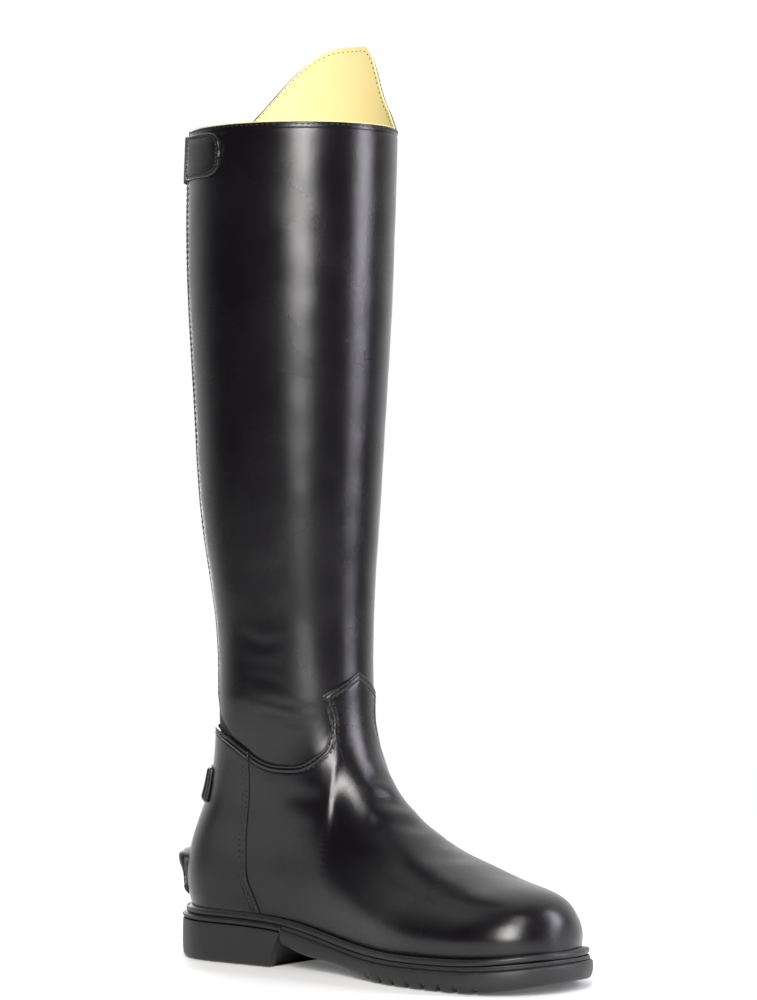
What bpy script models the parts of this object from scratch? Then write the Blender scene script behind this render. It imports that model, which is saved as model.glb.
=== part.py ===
"""Dress riding boot for the left foot, standing empty on its sole.

The foot and the leg are hollow leather walls over one last. The last is a function
of two shares: u runs round the boot from the centre back over the inner side
(0 to 0.5 at the toe and shin) and home over the outer side, and v runs up from the
feather line (0) over the ankle (1) to the collar (2). A wall is the last moved out
along its normal by a lift.

Metres, +Z up, toe along +X, outer side along +Y. The origin is on the ground under
the heel.
"""
import math

import bmesh
import bpy
import numpy as np
from mathutils import Matrix, Vector

# Last
FOOT_LENGTH = 0.262        # heel to toe along the feather line
BALL_WIDTH = 0.0905        # width of the last at the ball
HEEL_BACK = 0.030          # from the origin back to the last's heel
HEEL_HEIGHT = 0.0285       # ground to feather line at the heel
FOREFOOT_HEIGHT = 0.0165   # ground to feather line at the ball
TOE_SPRING = 0.005         # lift of the toe over the ball
ANKLE_HEIGHT = 0.1475      # ground to the narrow ring over the instep
ANKLE_DEPTH = 0.092        # front to back at that ring
ANKLE_WIDTH = 0.080
ANKLE_SETBACK = 0.0225     # how far the back line comes forward over the heel
COLLAR_HEIGHT = 0.4625     # ground to the level part of the collar
CALF_DEPTH = 0.124
CALF_WIDTH = 0.110
PEAK_RISE = 0.052          # the collar's peak on the outer side

# Walls, as thicknesses and as lifts from the last
GAP = 0.0003
SHAFT_WALL = 0.0018
VAMP_LIFT = 0.0012
COUNTER_LIFT = 0.0019
FOOT_LINING = 0.0010
SEAM_GAP = 0.0005          # between the foot's top edge and the leg tucked under it
TRIM_GAP = 0.0005          # under what is sewn on the counter
ELASTIC_RECESS = 0.0004
ELASTIC_WALL = 0.0012

# Bottom
WELT_THICK = 0.0030
WELT_MARGIN = 0.0052       # past the last
WELT_INSIDE = 0.010
SOLE_MARGIN = 0.0072
SEAT_THICK = 0.0040        # sole over the heel block
HEEL_LENGTH = 0.086        # along the top of the heel block
HEEL_SLANT = 0.009         # its breast runs back by this to the ground
BREAST_HOLLOW = 0.007
INSOLE_THICK = 0.0025
TREAD_PITCH = 0.0105
TREAD_GROOVE = 0.0028
TREAD_DEPTH = 0.0020
TREAD_START = 0.128
TREAD_COUNT = 8

# Zip at the centre back
ZIP_LOW = 0.0570           # its lower end over the ground
ZIP_SLOT = 0.0080          # half width of the slot in the foot
TEETH_HALF = 0.0028
TEETH_CROWN = 0.0003       # over the last in the middle
TEETH_SINK = 0.0007        # under it at the edges
TEETH_DROP = 0.012         # from the collar down to the teeth's top end
FACING_EDGE = 0.0034       # from the centre to each facing
FACING_LIFT = 0.0004
FACING_WALL = 0.0022
TAPE_HALF = 0.0105
TAPE_LIFT = -0.0022
TAPE_WALL = 0.0006
TAPE_DROP = 0.004          # from the collar down to the tape
SLIDER_LENGTH = 0.017
SLIDER_WIDTH = 0.0095
SLIDER_THICK = 0.0022
SLIDER_ROUND = 0.0007
SLIDER_DROP = 0.001        # under the strap
BRIDGE_WIDTH = 0.0026
BRIDGE_HOLE = 0.0034
BRIDGE_TALL = 0.0096
PULL_BAR = 0.0016
PULL_ROUND = 0.0003
PULL_WIDTH = 0.0080
PULL_LENGTH = 0.0150
PULL_WINDOW = 0.0085
PULL_PLAY = 0.0009         # each side, between the tab and the bridge
LEATHER_PULL_LENGTH = 0.042
LEATHER_PULL_WIDTH = 0.017
LEATHER_PULL_THICK = 0.0024
LEATHER_PULL_ROUND = 0.0005

# Strap and snap
STRAP_WIDTH = 0.0245
STRAP_DROP = 0.0035        # from the collar down to the strap
STRAP_WALL = 0.0019
SNAP_DIAMETER = 0.015
SNAP_HEIGHT = 0.0026

# Places of the strap's pieces, as shares round the leg
ANCHOR_SHARES = (0.147, 0.243)
STRAP_END_SHARES = (-0.115, 0.025)
STRAP_SEAM_SHARE = 0.0013
ELASTIC_SHARES = (STRAP_END_SHARES[1] + STRAP_SEAM_SHARE, ANCHOR_SHARES[0] - STRAP_SEAM_SHARE)
SNAP_SHARE = -0.070

# Spur rest and keepers
SPUR_TOP = 0.0560
SPUR_LOW = 0.0330
SPUR_HALF = 0.018          # half width
SPUR_WALL = 0.0018
SPUR_REACH = 0.0080        # the ledge past the tab's face
KEEPER_LOW = 0.0880
KEEPER_TALL = 0.020
KEEPER_NEAR = 0.0185       # from the middle plane to its near edge
KEEPER_WIDE = 0.009
KEEPER_WALL = 0.0015

# Feather line: share along, share of the heel's rise, share of the toe spring
FEATHER = np.array([
    (0.00, 1.000, 0.00),
    (0.16, 0.985, 0.00),
    (0.34, 0.800, 0.00),
    (0.50, 0.220, 0.00),
    (0.62, 0.000, 0.00),
    (0.76, 0.000, 0.00),
    (0.90, 0.000, 0.35),
    (1.00, 0.000, 1.00),
])

# Outline: share along, half width and centre shift as shares of the ball width
OUTLINE = np.array([
    (0.00, 0.325, 0.000),
    (0.10, 0.335, 0.000),
    (0.25, 0.328, 0.015),
    (0.40, 0.335, 0.035),
    (0.55, 0.410, 0.045),
    (0.70, 0.500, 0.035),
    (0.82, 0.475, 0.000),
    (0.92, 0.430, -0.040),
    (1.00, 0.410, -0.060),
])
HEEL_ROUND_SHARE = 0.125
TOE_ROUND_SHARE = 0.170

# Front line: share from the shin forward to the toe, share from the feather line up
FRONT = np.array([
    (1.000, 0.000),
    (0.998, 0.080),
    (0.983, 0.150),
    (0.945, 0.195),
    (0.880, 0.225),
    (0.735, 0.255),
    (0.560, 0.305),
    (0.370, 0.380),
    (0.220, 0.490),
    (0.100, 0.635),
    (0.020, 0.820),
    (0.000, 1.000),
])

# Back line under the ankle: share up, share of the setback
BACK = np.array([
    (0.00, 0.04),
    (0.11, -0.12),
    (0.22, -0.07),
    (0.39, 0.25),
    (0.53, 0.60),
    (0.69, 0.87),
    (0.86, 1.00),
    (1.00, 1.00),
])

# Leg: share up from ankle to collar, setback, share from ankle size to calf size
LEG = np.array([
    (0.00, 1.00, 0.00),
    (0.12, 0.92, 0.03),
    (0.30, 0.52, 0.39),
    (0.50, 0.30, 0.66),
    (0.70, 0.14, 0.89),
    (0.87, 0.10, 0.98),
    (1.00, 0.18, 0.97),
    (1.25, 0.25, 0.92),
])

# Lower leg and heel cup: height as a share of the ankle's, width as a share of its width
CUP = np.array([
    (0.20, 0.84),
    (0.40, 0.86),
    (0.60, 0.88),
    (0.80, 0.93),
    (1.00, 1.00),
    (1.20, 1.02),
])

# Foot's top seam on one side: u, v
TOP_SEAM = np.array([
    (0.000, 0.885),
    (0.120, 0.888),
    (0.165, 0.876),
    (0.215, 0.842),
    (0.255, 0.808),
    (0.290, 0.802),
    (0.332, 0.817),
    (0.372, 0.852),
    (0.408, 0.902),
    (0.424, 0.955),
    (0.432, 1.012),
])
SEAM_PEAK_SHARE = 1.047          # v at the tab's point on the shin
CORNER_PULL_SHARE = 0.018        # how far the tab's corner hooks back, as a share round

# End of the leg wall inside the foot: u, v
TUCK = np.array([
    (0.000, 0.832),
    (0.150, 0.825),
    (0.215, 0.785),
    (0.290, 0.742),
    (0.372, 0.785),
    (0.420, 0.862),
    (0.455, 0.930),
    (0.500, 0.965),
])

# Front edge of the counter: share up the foot, u
COUNTER_EDGE = np.array([
    (0.00, 0.170),
    (0.12, 0.166),
    (0.34, 0.174),
    (0.60, 0.189),
    (0.86, 0.213),
    (1.00, 0.232),
])
COUNTER_SHARE = 0.200
TUCK_SLACK_SHARE = 0.005         # v left between the leg's edge and the ledge under it
PANEL_SHARE = 0.10             # where the panels at the back read their lower edge

# Collar peak: u, share of the rise
PEAK = np.array([
    (0.600, 0.00),
    (0.616, 0.02),
    (0.638, 0.09),
    (0.664, 0.25),
    (0.694, 0.52),
    (0.708, 0.75),
    (0.724, 0.95),
    (0.745, 1.00),
    (0.785, 1.00),
    (0.815, 0.94),
    (0.845, 0.80),
    (0.875, 0.60),
    (0.898, 0.42),
    (0.927, 0.20),
    (0.945, 0.06),
    (0.960, 0.00),
])

# Leg's edge along the elastic gusset: share up from seam to collar, u
GUSSET_EDGE = np.array([
    (0.00, 0.168),
    (0.035, 0.186),
    (0.07, 0.158),
    (0.15, 0.115),
    (0.40, 0.112),
    (0.70, 0.120),
    (1.00, 0.127),
])
FACING_SHARE = 0.055           # outer edge of the inner facing
OUTER_SHARE = 0.050            # and of the outer one

# Sole's underside: share along, height from the ground as a share of the forefoot height
UNDERSIDE = np.array([
    (0.335, 0.74),
    (0.380, 0.52),
    (0.430, 0.42),
    (0.500, 0.33),
    (0.570, 0.14),
    (0.630, 0.00),
    (0.820, 0.00),
    (0.920, 0.09),
    (1.000, 0.34),
])

# Snap cap: share of its radius, share of its height
SNAP_PROFILE = (
    (0.00, 1.00),
    (0.55, 0.93),
    (0.86, 0.70),
    (1.00, 0.35),
    (0.97, 0.12),
    (0.90, 0.00),
    (0.00, 0.00),
)

# Spur rest: share up, thickness as a share of its wall, past 1 the share of the ledge
SPUR_PROFILE = (
    (0.00, 0.0, 0.00),
    (0.00, 1.0, 0.00),
    (0.18, 1.0, 0.03),
    (0.42, 1.0, 0.08),
    (0.60, 1.0, 0.38),
    (0.74, 1.0, 0.81),
    (0.86, 1.0, 1.00),
    (0.95, 1.0, 0.94),
    (1.00, 1.0, 0.69),
    (1.00, 0.0, 0.00),
    (0.80, 0.0, 0.00),
    (0.60, 0.0, 0.00),
    (0.40, 0.0, 0.00),
    (0.20, 0.0, 0.00),
)

# Sole's side: share up, share of the sole's margin
SOLE_SIDE = (
    (0.00, 0.60),
    (0.12, 0.84),
    (0.45, 1.00),
    (0.78, 0.96),
    (0.84, 0.72),
    (1.00, 0.70),
)


def smooth_curve(xs, ys):
    """Natural cubic spline through the rows, held level past its ends."""
    xs = np.asarray(xs, float)
    ys = np.asarray(ys, float)
    step = np.diff(xs)
    slope = np.diff(ys) / step
    count = len(xs)
    matrix = np.eye(count)
    right = np.zeros(count)
    for i in range(1, count - 1):
        matrix[i, i - 1:i + 2] = step[i - 1], 2 * (step[i - 1] + step[i]), step[i]
        right[i] = 6 * (slope[i] - slope[i - 1])
    bend = np.linalg.solve(matrix, right)

    def curve(x):
        x = np.clip(x, xs[0], xs[-1])
        i = np.clip(np.searchsorted(xs, x, side="right") - 1, 0, count - 2)
        t = x - xs[i]
        first = slope[i] - step[i] * (2 * bend[i] + bend[i + 1]) / 6
        return ys[i] + t * first + t**2 * bend[i] / 2 + t**3 * (bend[i + 1] - bend[i]) / (6 * step[i])

    return curve


def ease(low, high, x):
    """0 under low, 1 over high, and smooth between."""
    t = np.clip((x - low) / (high - low), 0, 1)
    return t * t * (3 - 2 * t)


# Curves read from the tables
feather_rise = smooth_curve(FEATHER[:, 0], FEATHER[:, 1])
feather_spring = smooth_curve(FEATHER[:, 0], FEATHER[:, 2])
outline_width = smooth_curve(OUTLINE[:, 0], OUTLINE[:, 1])
outline_shift = smooth_curve(OUTLINE[:, 0], OUTLINE[:, 2])
back_share = smooth_curve(BACK[:, 0], BACK[:, 1])
leg_back = smooth_curve(LEG[:, 0], LEG[:, 1])
leg_size = smooth_curve(LEG[:, 0], LEG[:, 2])
cup_width = smooth_curve(CUP[:, 0], CUP[:, 1])

TOE_X = FOOT_LENGTH - HEEL_BACK
SHIN_X = ANKLE_SETBACK - HEEL_BACK + ANKLE_DEPTH
TOE_Z = FOREFOOT_HEIGHT + TOE_SPRING


def front_line():
    """The front line as splines over the share of its length, toe to shin."""
    x = SHIN_X + FRONT[:, 0] * (TOE_X - SHIN_X)
    z = TOE_Z + FRONT[:, 1] * (ANKLE_HEIGHT - TOE_Z)
    length = np.concatenate([[0], np.cumsum(np.hypot(np.diff(x), np.diff(z)))])
    return smooth_curve(length / length[-1], x), smooth_curve(length / length[-1], z)


front_line_x, front_line_z = front_line()
FRONT_X = front_line_x(np.linspace(0, 1, 400))
FRONT_Z = front_line_z(np.linspace(0, 1, 400))


def feather_z(x):
    """Height of the feather line over the ground."""
    s = (x + HEEL_BACK) / FOOT_LENGTH
    rise = (HEEL_HEIGHT - FOREFOOT_HEIGHT) * feather_rise(s)
    return FOREFOOT_HEIGHT + rise + TOE_SPRING * feather_spring(s)


def foot_outline(s):
    """Half width and centre shift at share s along, rounded at heel and toe."""
    back = np.clip(1 - s / HEEL_ROUND_SHARE, 0, 1)
    front = np.clip((s - 1 + TOE_ROUND_SHARE) / TOE_ROUND_SHARE, 0, 1)
    ends = np.sqrt(1 - back**2) * (1 - front**2.15) ** (1 / 2.15)
    return outline_width(s) * BALL_WIDTH * ends, outline_shift(s) * BALL_WIDTH


def leg_at(z):
    """Back x, front x and width of the leg's ellipse at height z."""
    r = (z - ANKLE_HEIGHT) / (COLLAR_HEIGHT - ANKLE_HEIGHT)
    size = leg_size(r)
    back = ANKLE_SETBACK * leg_back(r) - HEEL_BACK
    depth = ANKLE_DEPTH + (CALF_DEPTH - ANKLE_DEPTH) * size
    return back, back + depth, ANKLE_WIDTH + (CALF_WIDTH - ANKLE_WIDTH) * size


def back_x(z):
    low = ANKLE_SETBACK * back_share((z - HEEL_HEIGHT) / (ANKLE_HEIGHT - HEEL_HEIGHT)) - HEEL_BACK
    return np.where(z < ANKLE_HEIGHT, low, leg_at(z)[0])


def front_x(z):
    return np.where(z < ANKLE_HEIGHT, np.interp(z, FRONT_Z, FRONT_X), leg_at(z)[1])


def ridge_z(x):
    """Height of the last's ridge over x, carried on steeply behind the shin."""
    steep_x = [SHIN_X - ANKLE_DEPTH, SHIN_X - ANKLE_DEPTH / 2]
    steep_z = [ANKLE_HEIGHT + 4 * ANKLE_DEPTH, ANKLE_HEIGHT + 1.9 * ANKLE_DEPTH]
    along = np.concatenate([steep_x, FRONT_X[::-1]])
    return np.interp(x, along, np.concatenate([steep_z, FRONT_Z[::-1]]))


def cross_width(x, z):
    """Half width and centre shift of the last at x and z.

    The foot's arch, outline * (1 - height**n) ** (1 / 2.1), turns into the leg's
    ellipse between a third of the ankle's height and the ankle.
    """
    rear = back_x(z)
    front = front_x(z)
    s = np.clip((x - rear) / (TOE_X - rear), 0, 1)
    width, shift = foot_outline(s)
    floor = feather_z(x)
    height = np.clip((z - floor) / np.maximum(ridge_z(x) - floor, 1e-4), 0, 1)
    bulge = 1 + 0.05 * np.sin(np.pi * np.clip(1.6 * height, 0, 1))
    square = 2.3 + 0.5 * ease(0.75, 0.95, s)
    foot = width * bulge * (1 - height**square) ** (1 / 2.1)
    t = np.clip((x - rear) / np.maximum(front - rear, 1e-4), 0, 1)
    widest = 0.33 + 0.17 * ease(0.40, 1.25, z / ANKLE_HEIGHT)
    e = np.where(t < widest, 1 - t / widest, (t - widest) / (1 - widest))
    half = np.where(z < ANKLE_HEIGHT, ANKLE_WIDTH * cup_width(z / ANKLE_HEIGHT), leg_at(z)[2]) / 2
    leg = half * np.sqrt(np.clip(1 - e**2, 0, 1))
    k = ease(0.37, 1.0, z / ANKLE_HEIGHT)
    return foot * (1 - k) + leg * k, shift * (1 - k)


def last_surface(u, v):
    """Points of the last at shares u round and v up."""
    u, v = np.broadcast_arrays(np.asarray(u, float), np.asarray(v, float))
    u = u % 1.0
    side = np.where(u < 0.5, -1.0, 1.0)
    s = (1 - np.cos(2 * np.pi * u)) / 2
    low = np.clip(v, 0, 1)
    high = np.maximum(v - 1, 0) * (COLLAR_HEIGHT - ANKLE_HEIGHT)
    z_front = front_line_z(low) + high
    z_back = HEEL_HEIGHT + (ANKLE_HEIGHT - HEEL_HEIGHT) * low**1.25 + high
    x_front = np.where(v < 1, front_line_x(low), front_x(z_front))
    x_back = back_x(z_back)
    x = x_back + (x_front - x_back) * s
    straight = feather_z(x_back) + (feather_z(x_front) - feather_z(x_back)) * s
    z = z_back + (z_front - z_back) * s + (feather_z(x) - straight) * (1 - ease(0, 0.75, low))
    width, shift = cross_width(x, z)
    return np.stack([x, side * width + shift, z], -1)


def normals(u, v):
    """Unit normals of the last, pointing out, and level at the feather line."""
    e = 0.0015
    round_way = last_surface(u + e, v) - last_surface(u - e, v)
    up_way = last_surface(u, v + e) - last_surface(u, np.maximum(v - e, 0))
    n = np.cross(round_way, up_way)
    n[..., 2] *= ease(0, 0.10, np.broadcast_to(v, n.shape[:-1]))
    return n / np.linalg.norm(n, axis=-1, keepdims=True)


def leather(u, v, lift):
    """The last's point at (u, v), moved out by the lift."""
    u, v, lift = np.broadcast_arrays(np.asarray(u, float), np.asarray(v, float), np.asarray(lift, float))
    return last_surface(u, v) + lift[..., None] * normals(u, v)


def v_at(z):
    """v of a height on the back line."""
    low = np.clip((z - HEEL_HEIGHT) / (ANKLE_HEIGHT - HEEL_HEIGHT), 0, 1) ** 0.8
    return low + np.maximum(z - ANKLE_HEIGHT, 0) / (COLLAR_HEIGHT - ANKLE_HEIGHT)


def u_at(y, v):
    """u of the last's point at distance y from the middle plane near the back, at v."""
    v = np.asarray(v, float)
    near = np.linspace(0, 0.22, 89)
    y = np.broadcast_to(y, v.shape)
    found = [np.interp(a, -last_surface(near, b)[:, 1], near) for a, b in zip(y.ravel(), v.ravel())]
    return np.array(found).reshape(v.shape)


def top_seam(u):
    """v of the foot's top seam at u, the same on both sides."""
    u = np.abs((np.asarray(u, float) + 0.5) % 1.0 - 0.5)
    rows = smooth_curve(TOP_SEAM[:, 0], TOP_SEAM[:, 1])(u)
    corner_u, corner_v = TOP_SEAM[-1]
    tab = corner_v + (SEAM_PEAK_SHARE - corner_v) * (u - corner_u) / (0.5 - corner_u)
    return np.where(u < corner_u, rows, tab)


def tuck_line(u):
    """v of the leg's hidden lower edge at u."""
    u = np.abs((np.asarray(u, float) + 0.5) % 1.0 - 0.5)
    return smooth_curve(TUCK[:, 0], TUCK[:, 1])(u)


def collar_v(u):
    """v of the collar, with the peak on the outer side."""
    share = smooth_curve(PEAK[:, 0], PEAK[:, 1])(np.asarray(u, float) % 1.0)
    return 2 + np.clip(share, 0, None) * PEAK_RISE / (COLLAR_HEIGHT - ANKLE_HEIGHT)


# Building meshes
def material(name, colour, roughness, metallic=0.0):
    made = bpy.data.materials.new(name)
    made.use_nodes = True
    shader = made.node_tree.nodes["Principled BSDF"]
    shader.inputs["Base Color"].default_value = (*colour, 1.0)
    shader.inputs["Roughness"].default_value = roughness
    shader.inputs["Metallic"].default_value = metallic
    made.diffuse_color = (*colour, 1.0)
    return made


def add_object(name, mesh, look, group):
    """A smooth-shaded object with its material, in the given collection."""
    body = bpy.data.objects.new(name, mesh)
    group.objects.link(body)
    if look is not None:
        mesh.materials.append(look)
    mesh.shade_smooth()
    mesh.set_sharp_from_angle(angle=math.radians(40))
    return body


def mesh_from_faces(name, points, faces):
    """A mesh with doubles welded and its faces turned outward."""
    mesh = bpy.data.meshes.new(name)
    mesh.from_pydata([tuple(p) for p in points.reshape(-1, 3)], [], faces)
    work = bmesh.new()
    work.from_mesh(mesh)
    bmesh.ops.remove_doubles(work, verts=work.verts, dist=1e-6)
    bmesh.ops.recalc_face_normals(work, faces=work.faces)
    work.to_mesh(mesh)
    work.free()
    return mesh


def wall_loft(name, sections, look, group, closed):
    """A solid swept through sections, [place][corner][xyz], each a closed loop.

    Closed joins the last section to the first. Otherwise both ends are capped by
    rungs between the loop's two faces.
    """
    places, corners = sections.shape[:2]
    faces = []
    for i in range(places if closed else places - 1):
        j = (i + 1) % places
        for a in range(corners):
            b = (a + 1) % corners
            faces.append((i * corners + a, j * corners + a, j * corners + b, i * corners + b))
    if not closed:
        for start in (0, (places - 1) * corners):
            faces += ladder_cap(start, corners)
    return add_object(name, mesh_from_faces(name, sections, faces), look, group)


def ladder_cap(start, count):
    """Rungs across a ring of count corners: 0 meets 0, 1 meets count - 1, and so on."""
    faces = []
    for a in range((count + 1) // 2):
        b = (count - a) % count
        near = a + 1
        far = (count - a - 1) % count
        rung = []
        for corner in (a, near, far, b):
            if start + corner not in rung:
                rung.append(start + corner)
        if len(rung) > 2 and near <= far:
            faces.append(tuple(rung))
    return faces


def stack_loft(name, rings, look, group):
    """A solid from rings stacked one over the other, [level][corner][xyz]."""
    levels, corners = rings.shape[:2]
    faces = []
    for i in range(levels - 1):
        for a in range(corners):
            b = (a + 1) % corners
            faces.append((i * corners + a, i * corners + b, (i + 1) * corners + b, (i + 1) * corners + a))
    faces += ladder_cap(0, corners)
    faces += ladder_cap((levels - 1) * corners, corners)
    return add_object(name, mesh_from_faces(name, rings, faces), look, group)


def band(u_grid, v_grid, inner, outer):
    """Sections of a leather band: u and v are [place][row], the lifts its two faces."""
    inner = np.broadcast_to(inner, u_grid.shape)
    outer = np.broadcast_to(outer, u_grid.shape)
    face = leather(u_grid, v_grid, outer)
    back = leather(u_grid, v_grid, inner)[:, ::-1]
    return np.concatenate([face, back], axis=1)


def cut(body, tool, operation="DIFFERENCE"):
    """An exact Boolean on the body."""
    step = body.modifiers.new(tool.name, "BOOLEAN")
    step.operation = operation
    step.solver = "EXACT"
    step.object = tool


def cutter_object(name, mesh, group):
    tool = bpy.data.objects.new(name, mesh)
    tool.hide_render = True
    tool.display_type = "WIRE"
    group.objects.link(tool)
    return tool


def box_mesh(name, low, high):
    """A box between two corners, made from a unit cube."""
    low = Vector(low)
    high = Vector(high)
    mesh = bpy.data.meshes.new(name)
    work = bmesh.new()
    bmesh.ops.create_cube(work, size=1.0)
    size = high - low
    bmesh.ops.scale(work, vec=size, verts=work.verts)
    bmesh.ops.translate(work, vec=(low + high) / 2, verts=work.verts)
    work.to_mesh(mesh)
    work.free()
    return mesh


def round_edges(body, width, segments=2):
    step = body.modifiers.new("rounded edges", "BEVEL")
    step.width = width
    step.segments = segments
    step.limit_method = "ANGLE"


# Foot and leg
def columns():
    """Shares round the boot, with two columns at each edge of the counter."""
    half = [0.0, 0.018, 0.036, 0.06, 0.09, 0.12, 0.15, 0.178, COUNTER_SHARE - 0.0012, COUNTER_SHARE,
            0.222, 0.248, 0.276, 0.306, 0.336, 0.362, 0.384, 0.402, 0.414, 0.4239, 0.440, 0.458,
            0.474, 0.488]
    return np.array(half + [0.5] + [1 - t for t in reversed(half[1:])])


def foot_u(t, r):
    """u of column t at share r up the foot: it leans with the counter's front edge."""
    side = np.where(t <= 0.5, t, 1 - t)
    tent = np.minimum(side / COUNTER_SHARE, (0.5 - side) / (0.5 - COUNTER_SHARE))
    lean = smooth_curve(COUNTER_EDGE[:, 0], COUNTER_EDGE[:, 1])(r) - COUNTER_SHARE
    corner = np.exp(-((side - 0.4239) / 0.008) ** 2)
    hook = CORNER_PULL_SHARE * corner * np.clip((r - 0.94) / 0.06, 0, 1) ** 1.6
    u = side + tent * lean - hook
    return np.where(t <= 0.5, u, 1 - u)


def foot_sections():
    """Sections of the foot's wall: inner face, step over the leg's edge, outer face."""
    rise = np.array([0.0, 0.08, 0.17, 0.28, 0.40, 0.53, 0.67, 0.80, 0.90, 0.955, 1.0])
    inner_rise = np.array([0.0, 0.10, 0.22, 0.37, 0.54, 0.72, 0.88, 1.0])
    sections = []
    for t in columns():
        top_u = foot_u(t, 1.0)
        side = min(t, 1 - t)
        top_v = top_seam(foot_u(t, 0.93))
        tuck = tuck_line(t)
        lift = COUNTER_LIFT if side < COUNTER_SHARE - 1e-6 else VAMP_LIFT
        outer = leather(foot_u(t, rise), rise * top_v, lift)[::-1]
        inner = leather(t, inner_rise * tuck, -FOOT_LINING)
        lap = np.linspace(0, 1, 4)
        under = leather(t + (top_u - t) * lap, tuck + (top_v - tuck) * lap, SEAM_GAP)
        sections.append(np.concatenate([inner, under, outer]))
    return np.array(sections)


def make_upper(look, group, cutters):
    body = wall_loft("upper", foot_sections(), look, group, closed=True)
    slot = box_mesh("zip slot", (-1.5 * FOOT_LENGTH, -ZIP_SLOT, ZIP_LOW), (0.0, ZIP_SLOT, COLLAR_HEIGHT))
    cut(body, cutter_object("zip slot", slot, cutters))
    return body


def leg_rows(low, top):
    """v of the leg's rows from a lower edge to the collar: all panels share the middle ones."""
    low = np.asarray(low, float)[..., None]
    top = np.asarray(top, float)[..., None]
    shared = np.array([1.08, 1.20, 1.34, 1.50, 1.66, 1.82, 1.93])
    under = low + (shared[0] - low) * np.array([0.0, 0.17, 0.34, 0.5, 0.66, 0.83])
    over = shared[-1] + (top - shared[-1]) * np.array([0.5, 1.0])
    middle = np.broadcast_to(shared, low.shape[:-1] + shared.shape)
    return np.concatenate([under, middle, over], axis=-1)


def gusset_u(v):
    """u of the leg's edge along the gusset at v."""
    low = tuck_line(PANEL_SHARE)
    return smooth_curve(GUSSET_EDGE[:, 0], GUSSET_EDGE[:, 1])((v - low) / (2 - low))


def make_shaft(look, group):
    """The leg's wall, open along the back for the gusset and the zip."""
    inner_edge = GUSSET_EDGE[-1, 1]
    outer_edge = 1 - OUTER_SHARE
    around = [t for t in columns() if inner_edge + 0.012 < t < outer_edge - 0.006]
    around = np.array([inner_edge] + around + [outer_edge])
    fade = np.clip(1 - (around - inner_edge) / 0.14, 0, 1)
    v = leg_rows(tuck_line(around) + TUCK_SLACK_SHARE, collar_v(around))
    u = around[:, None] + fade[:, None] * (gusset_u(v) - inner_edge)
    return wall_loft("shaft", band(u, v, -SHAFT_WALL, 0.0), look, group, closed=False)


def edge_gap(z):
    """The clearance between two panels as a share round at height z."""
    half = np.where(z < ANKLE_HEIGHT, ANKLE_WIDTH, leg_at(z)[2]) / 2
    return GAP * 1.3 / (2 * math.pi * half)


def make_gusset(look, group):
    """Elastic panel between the leg's inner edge and the zip's inner facing."""
    across = np.linspace(0, 1, 6)[:, None]
    v = leg_rows(tuck_line(PANEL_SHARE) + TUCK_SLACK_SHARE, 2.0)[None, :]
    z = back_z(v)
    start = facing_u(v, FACING_SHARE) + 2 * edge_gap(z)
    end = gusset_u(v) - 2 * edge_gap(z)
    u = start + (end - start) * across
    outer = -ELASTIC_RECESS
    v = np.broadcast_to(v, u.shape)
    return wall_loft("gusset_elastic", band(u, v, outer - ELASTIC_WALL, outer), look, group, closed=False)


def facing_u(v, edge):
    """Outer edge of a facing: it narrows into the slot of the foot."""
    narrow = u_at(ZIP_SLOT - GAP, v)
    seam = top_seam(0.0)
    return narrow + (edge - narrow) * ease(seam + 0.02, seam + 0.10, v)


def back_z(v):
    """Height of the back line at v."""
    low = np.clip(v, 0, 1)
    high = np.maximum(v - 1, 0) * (COLLAR_HEIGHT - ANKLE_HEIGHT)
    return HEEL_HEIGHT + (ANKLE_HEIGHT - HEEL_HEIGHT) * low**1.25 + high


def zip_rows(stop):
    """v of rows along the zip, from its lower end to a distance under the collar."""
    low = tuck_line(PANEL_SHARE) + TUCK_SLACK_SHARE
    foot = np.linspace(v_at(ZIP_LOW + 2 * GAP), low, 9)[:-1]
    return np.concatenate([foot, leg_rows(low, v_at(COLLAR_HEIGHT - stop))])[None, :]


def make_facing(name, side, edge, look, group):
    """Leather strip beside the zip, from the spur rest to the collar."""
    v = zip_rows(0.0)
    start = u_at(FACING_EDGE, v)
    end = facing_u(v, edge)
    across = np.linspace(0, 1, 4)[:, None]
    u = side * (start + (end - start) * across)
    v = np.broadcast_to(v, u.shape)
    sections = band(u, v, FACING_LIFT - FACING_WALL, FACING_LIFT)
    return wall_loft(name, sections, look, group, closed=False)


def make_tape(look, group):
    """Zip tape behind both facings."""
    v = zip_rows(TAPE_DROP)
    edge = u_at(np.where(v < 1.02, ZIP_SLOT - 2 * GAP, TAPE_HALF), v)
    u = edge * np.linspace(-1, 1, 5)[:, None]
    v = np.broadcast_to(v, u.shape)
    return wall_loft("zip_tape", band(u, v, TAPE_LIFT - TAPE_WALL, TAPE_LIFT), look, group, closed=False)


def make_teeth(look, group):
    """The closed coil, as one bar between the facings."""
    v = zip_rows(TEETH_DROP)
    u = u_at(TEETH_HALF, v) * np.linspace(-1, 1, 4)[:, None]
    v = np.broadcast_to(v, u.shape)
    crown = np.array([-TEETH_SINK, TEETH_CROWN, TEETH_CROWN, -TEETH_SINK])[:, None]
    return wall_loft("zip_teeth", band(u, v, TAPE_LIFT + GAP, crown), look, group, closed=False)


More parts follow.
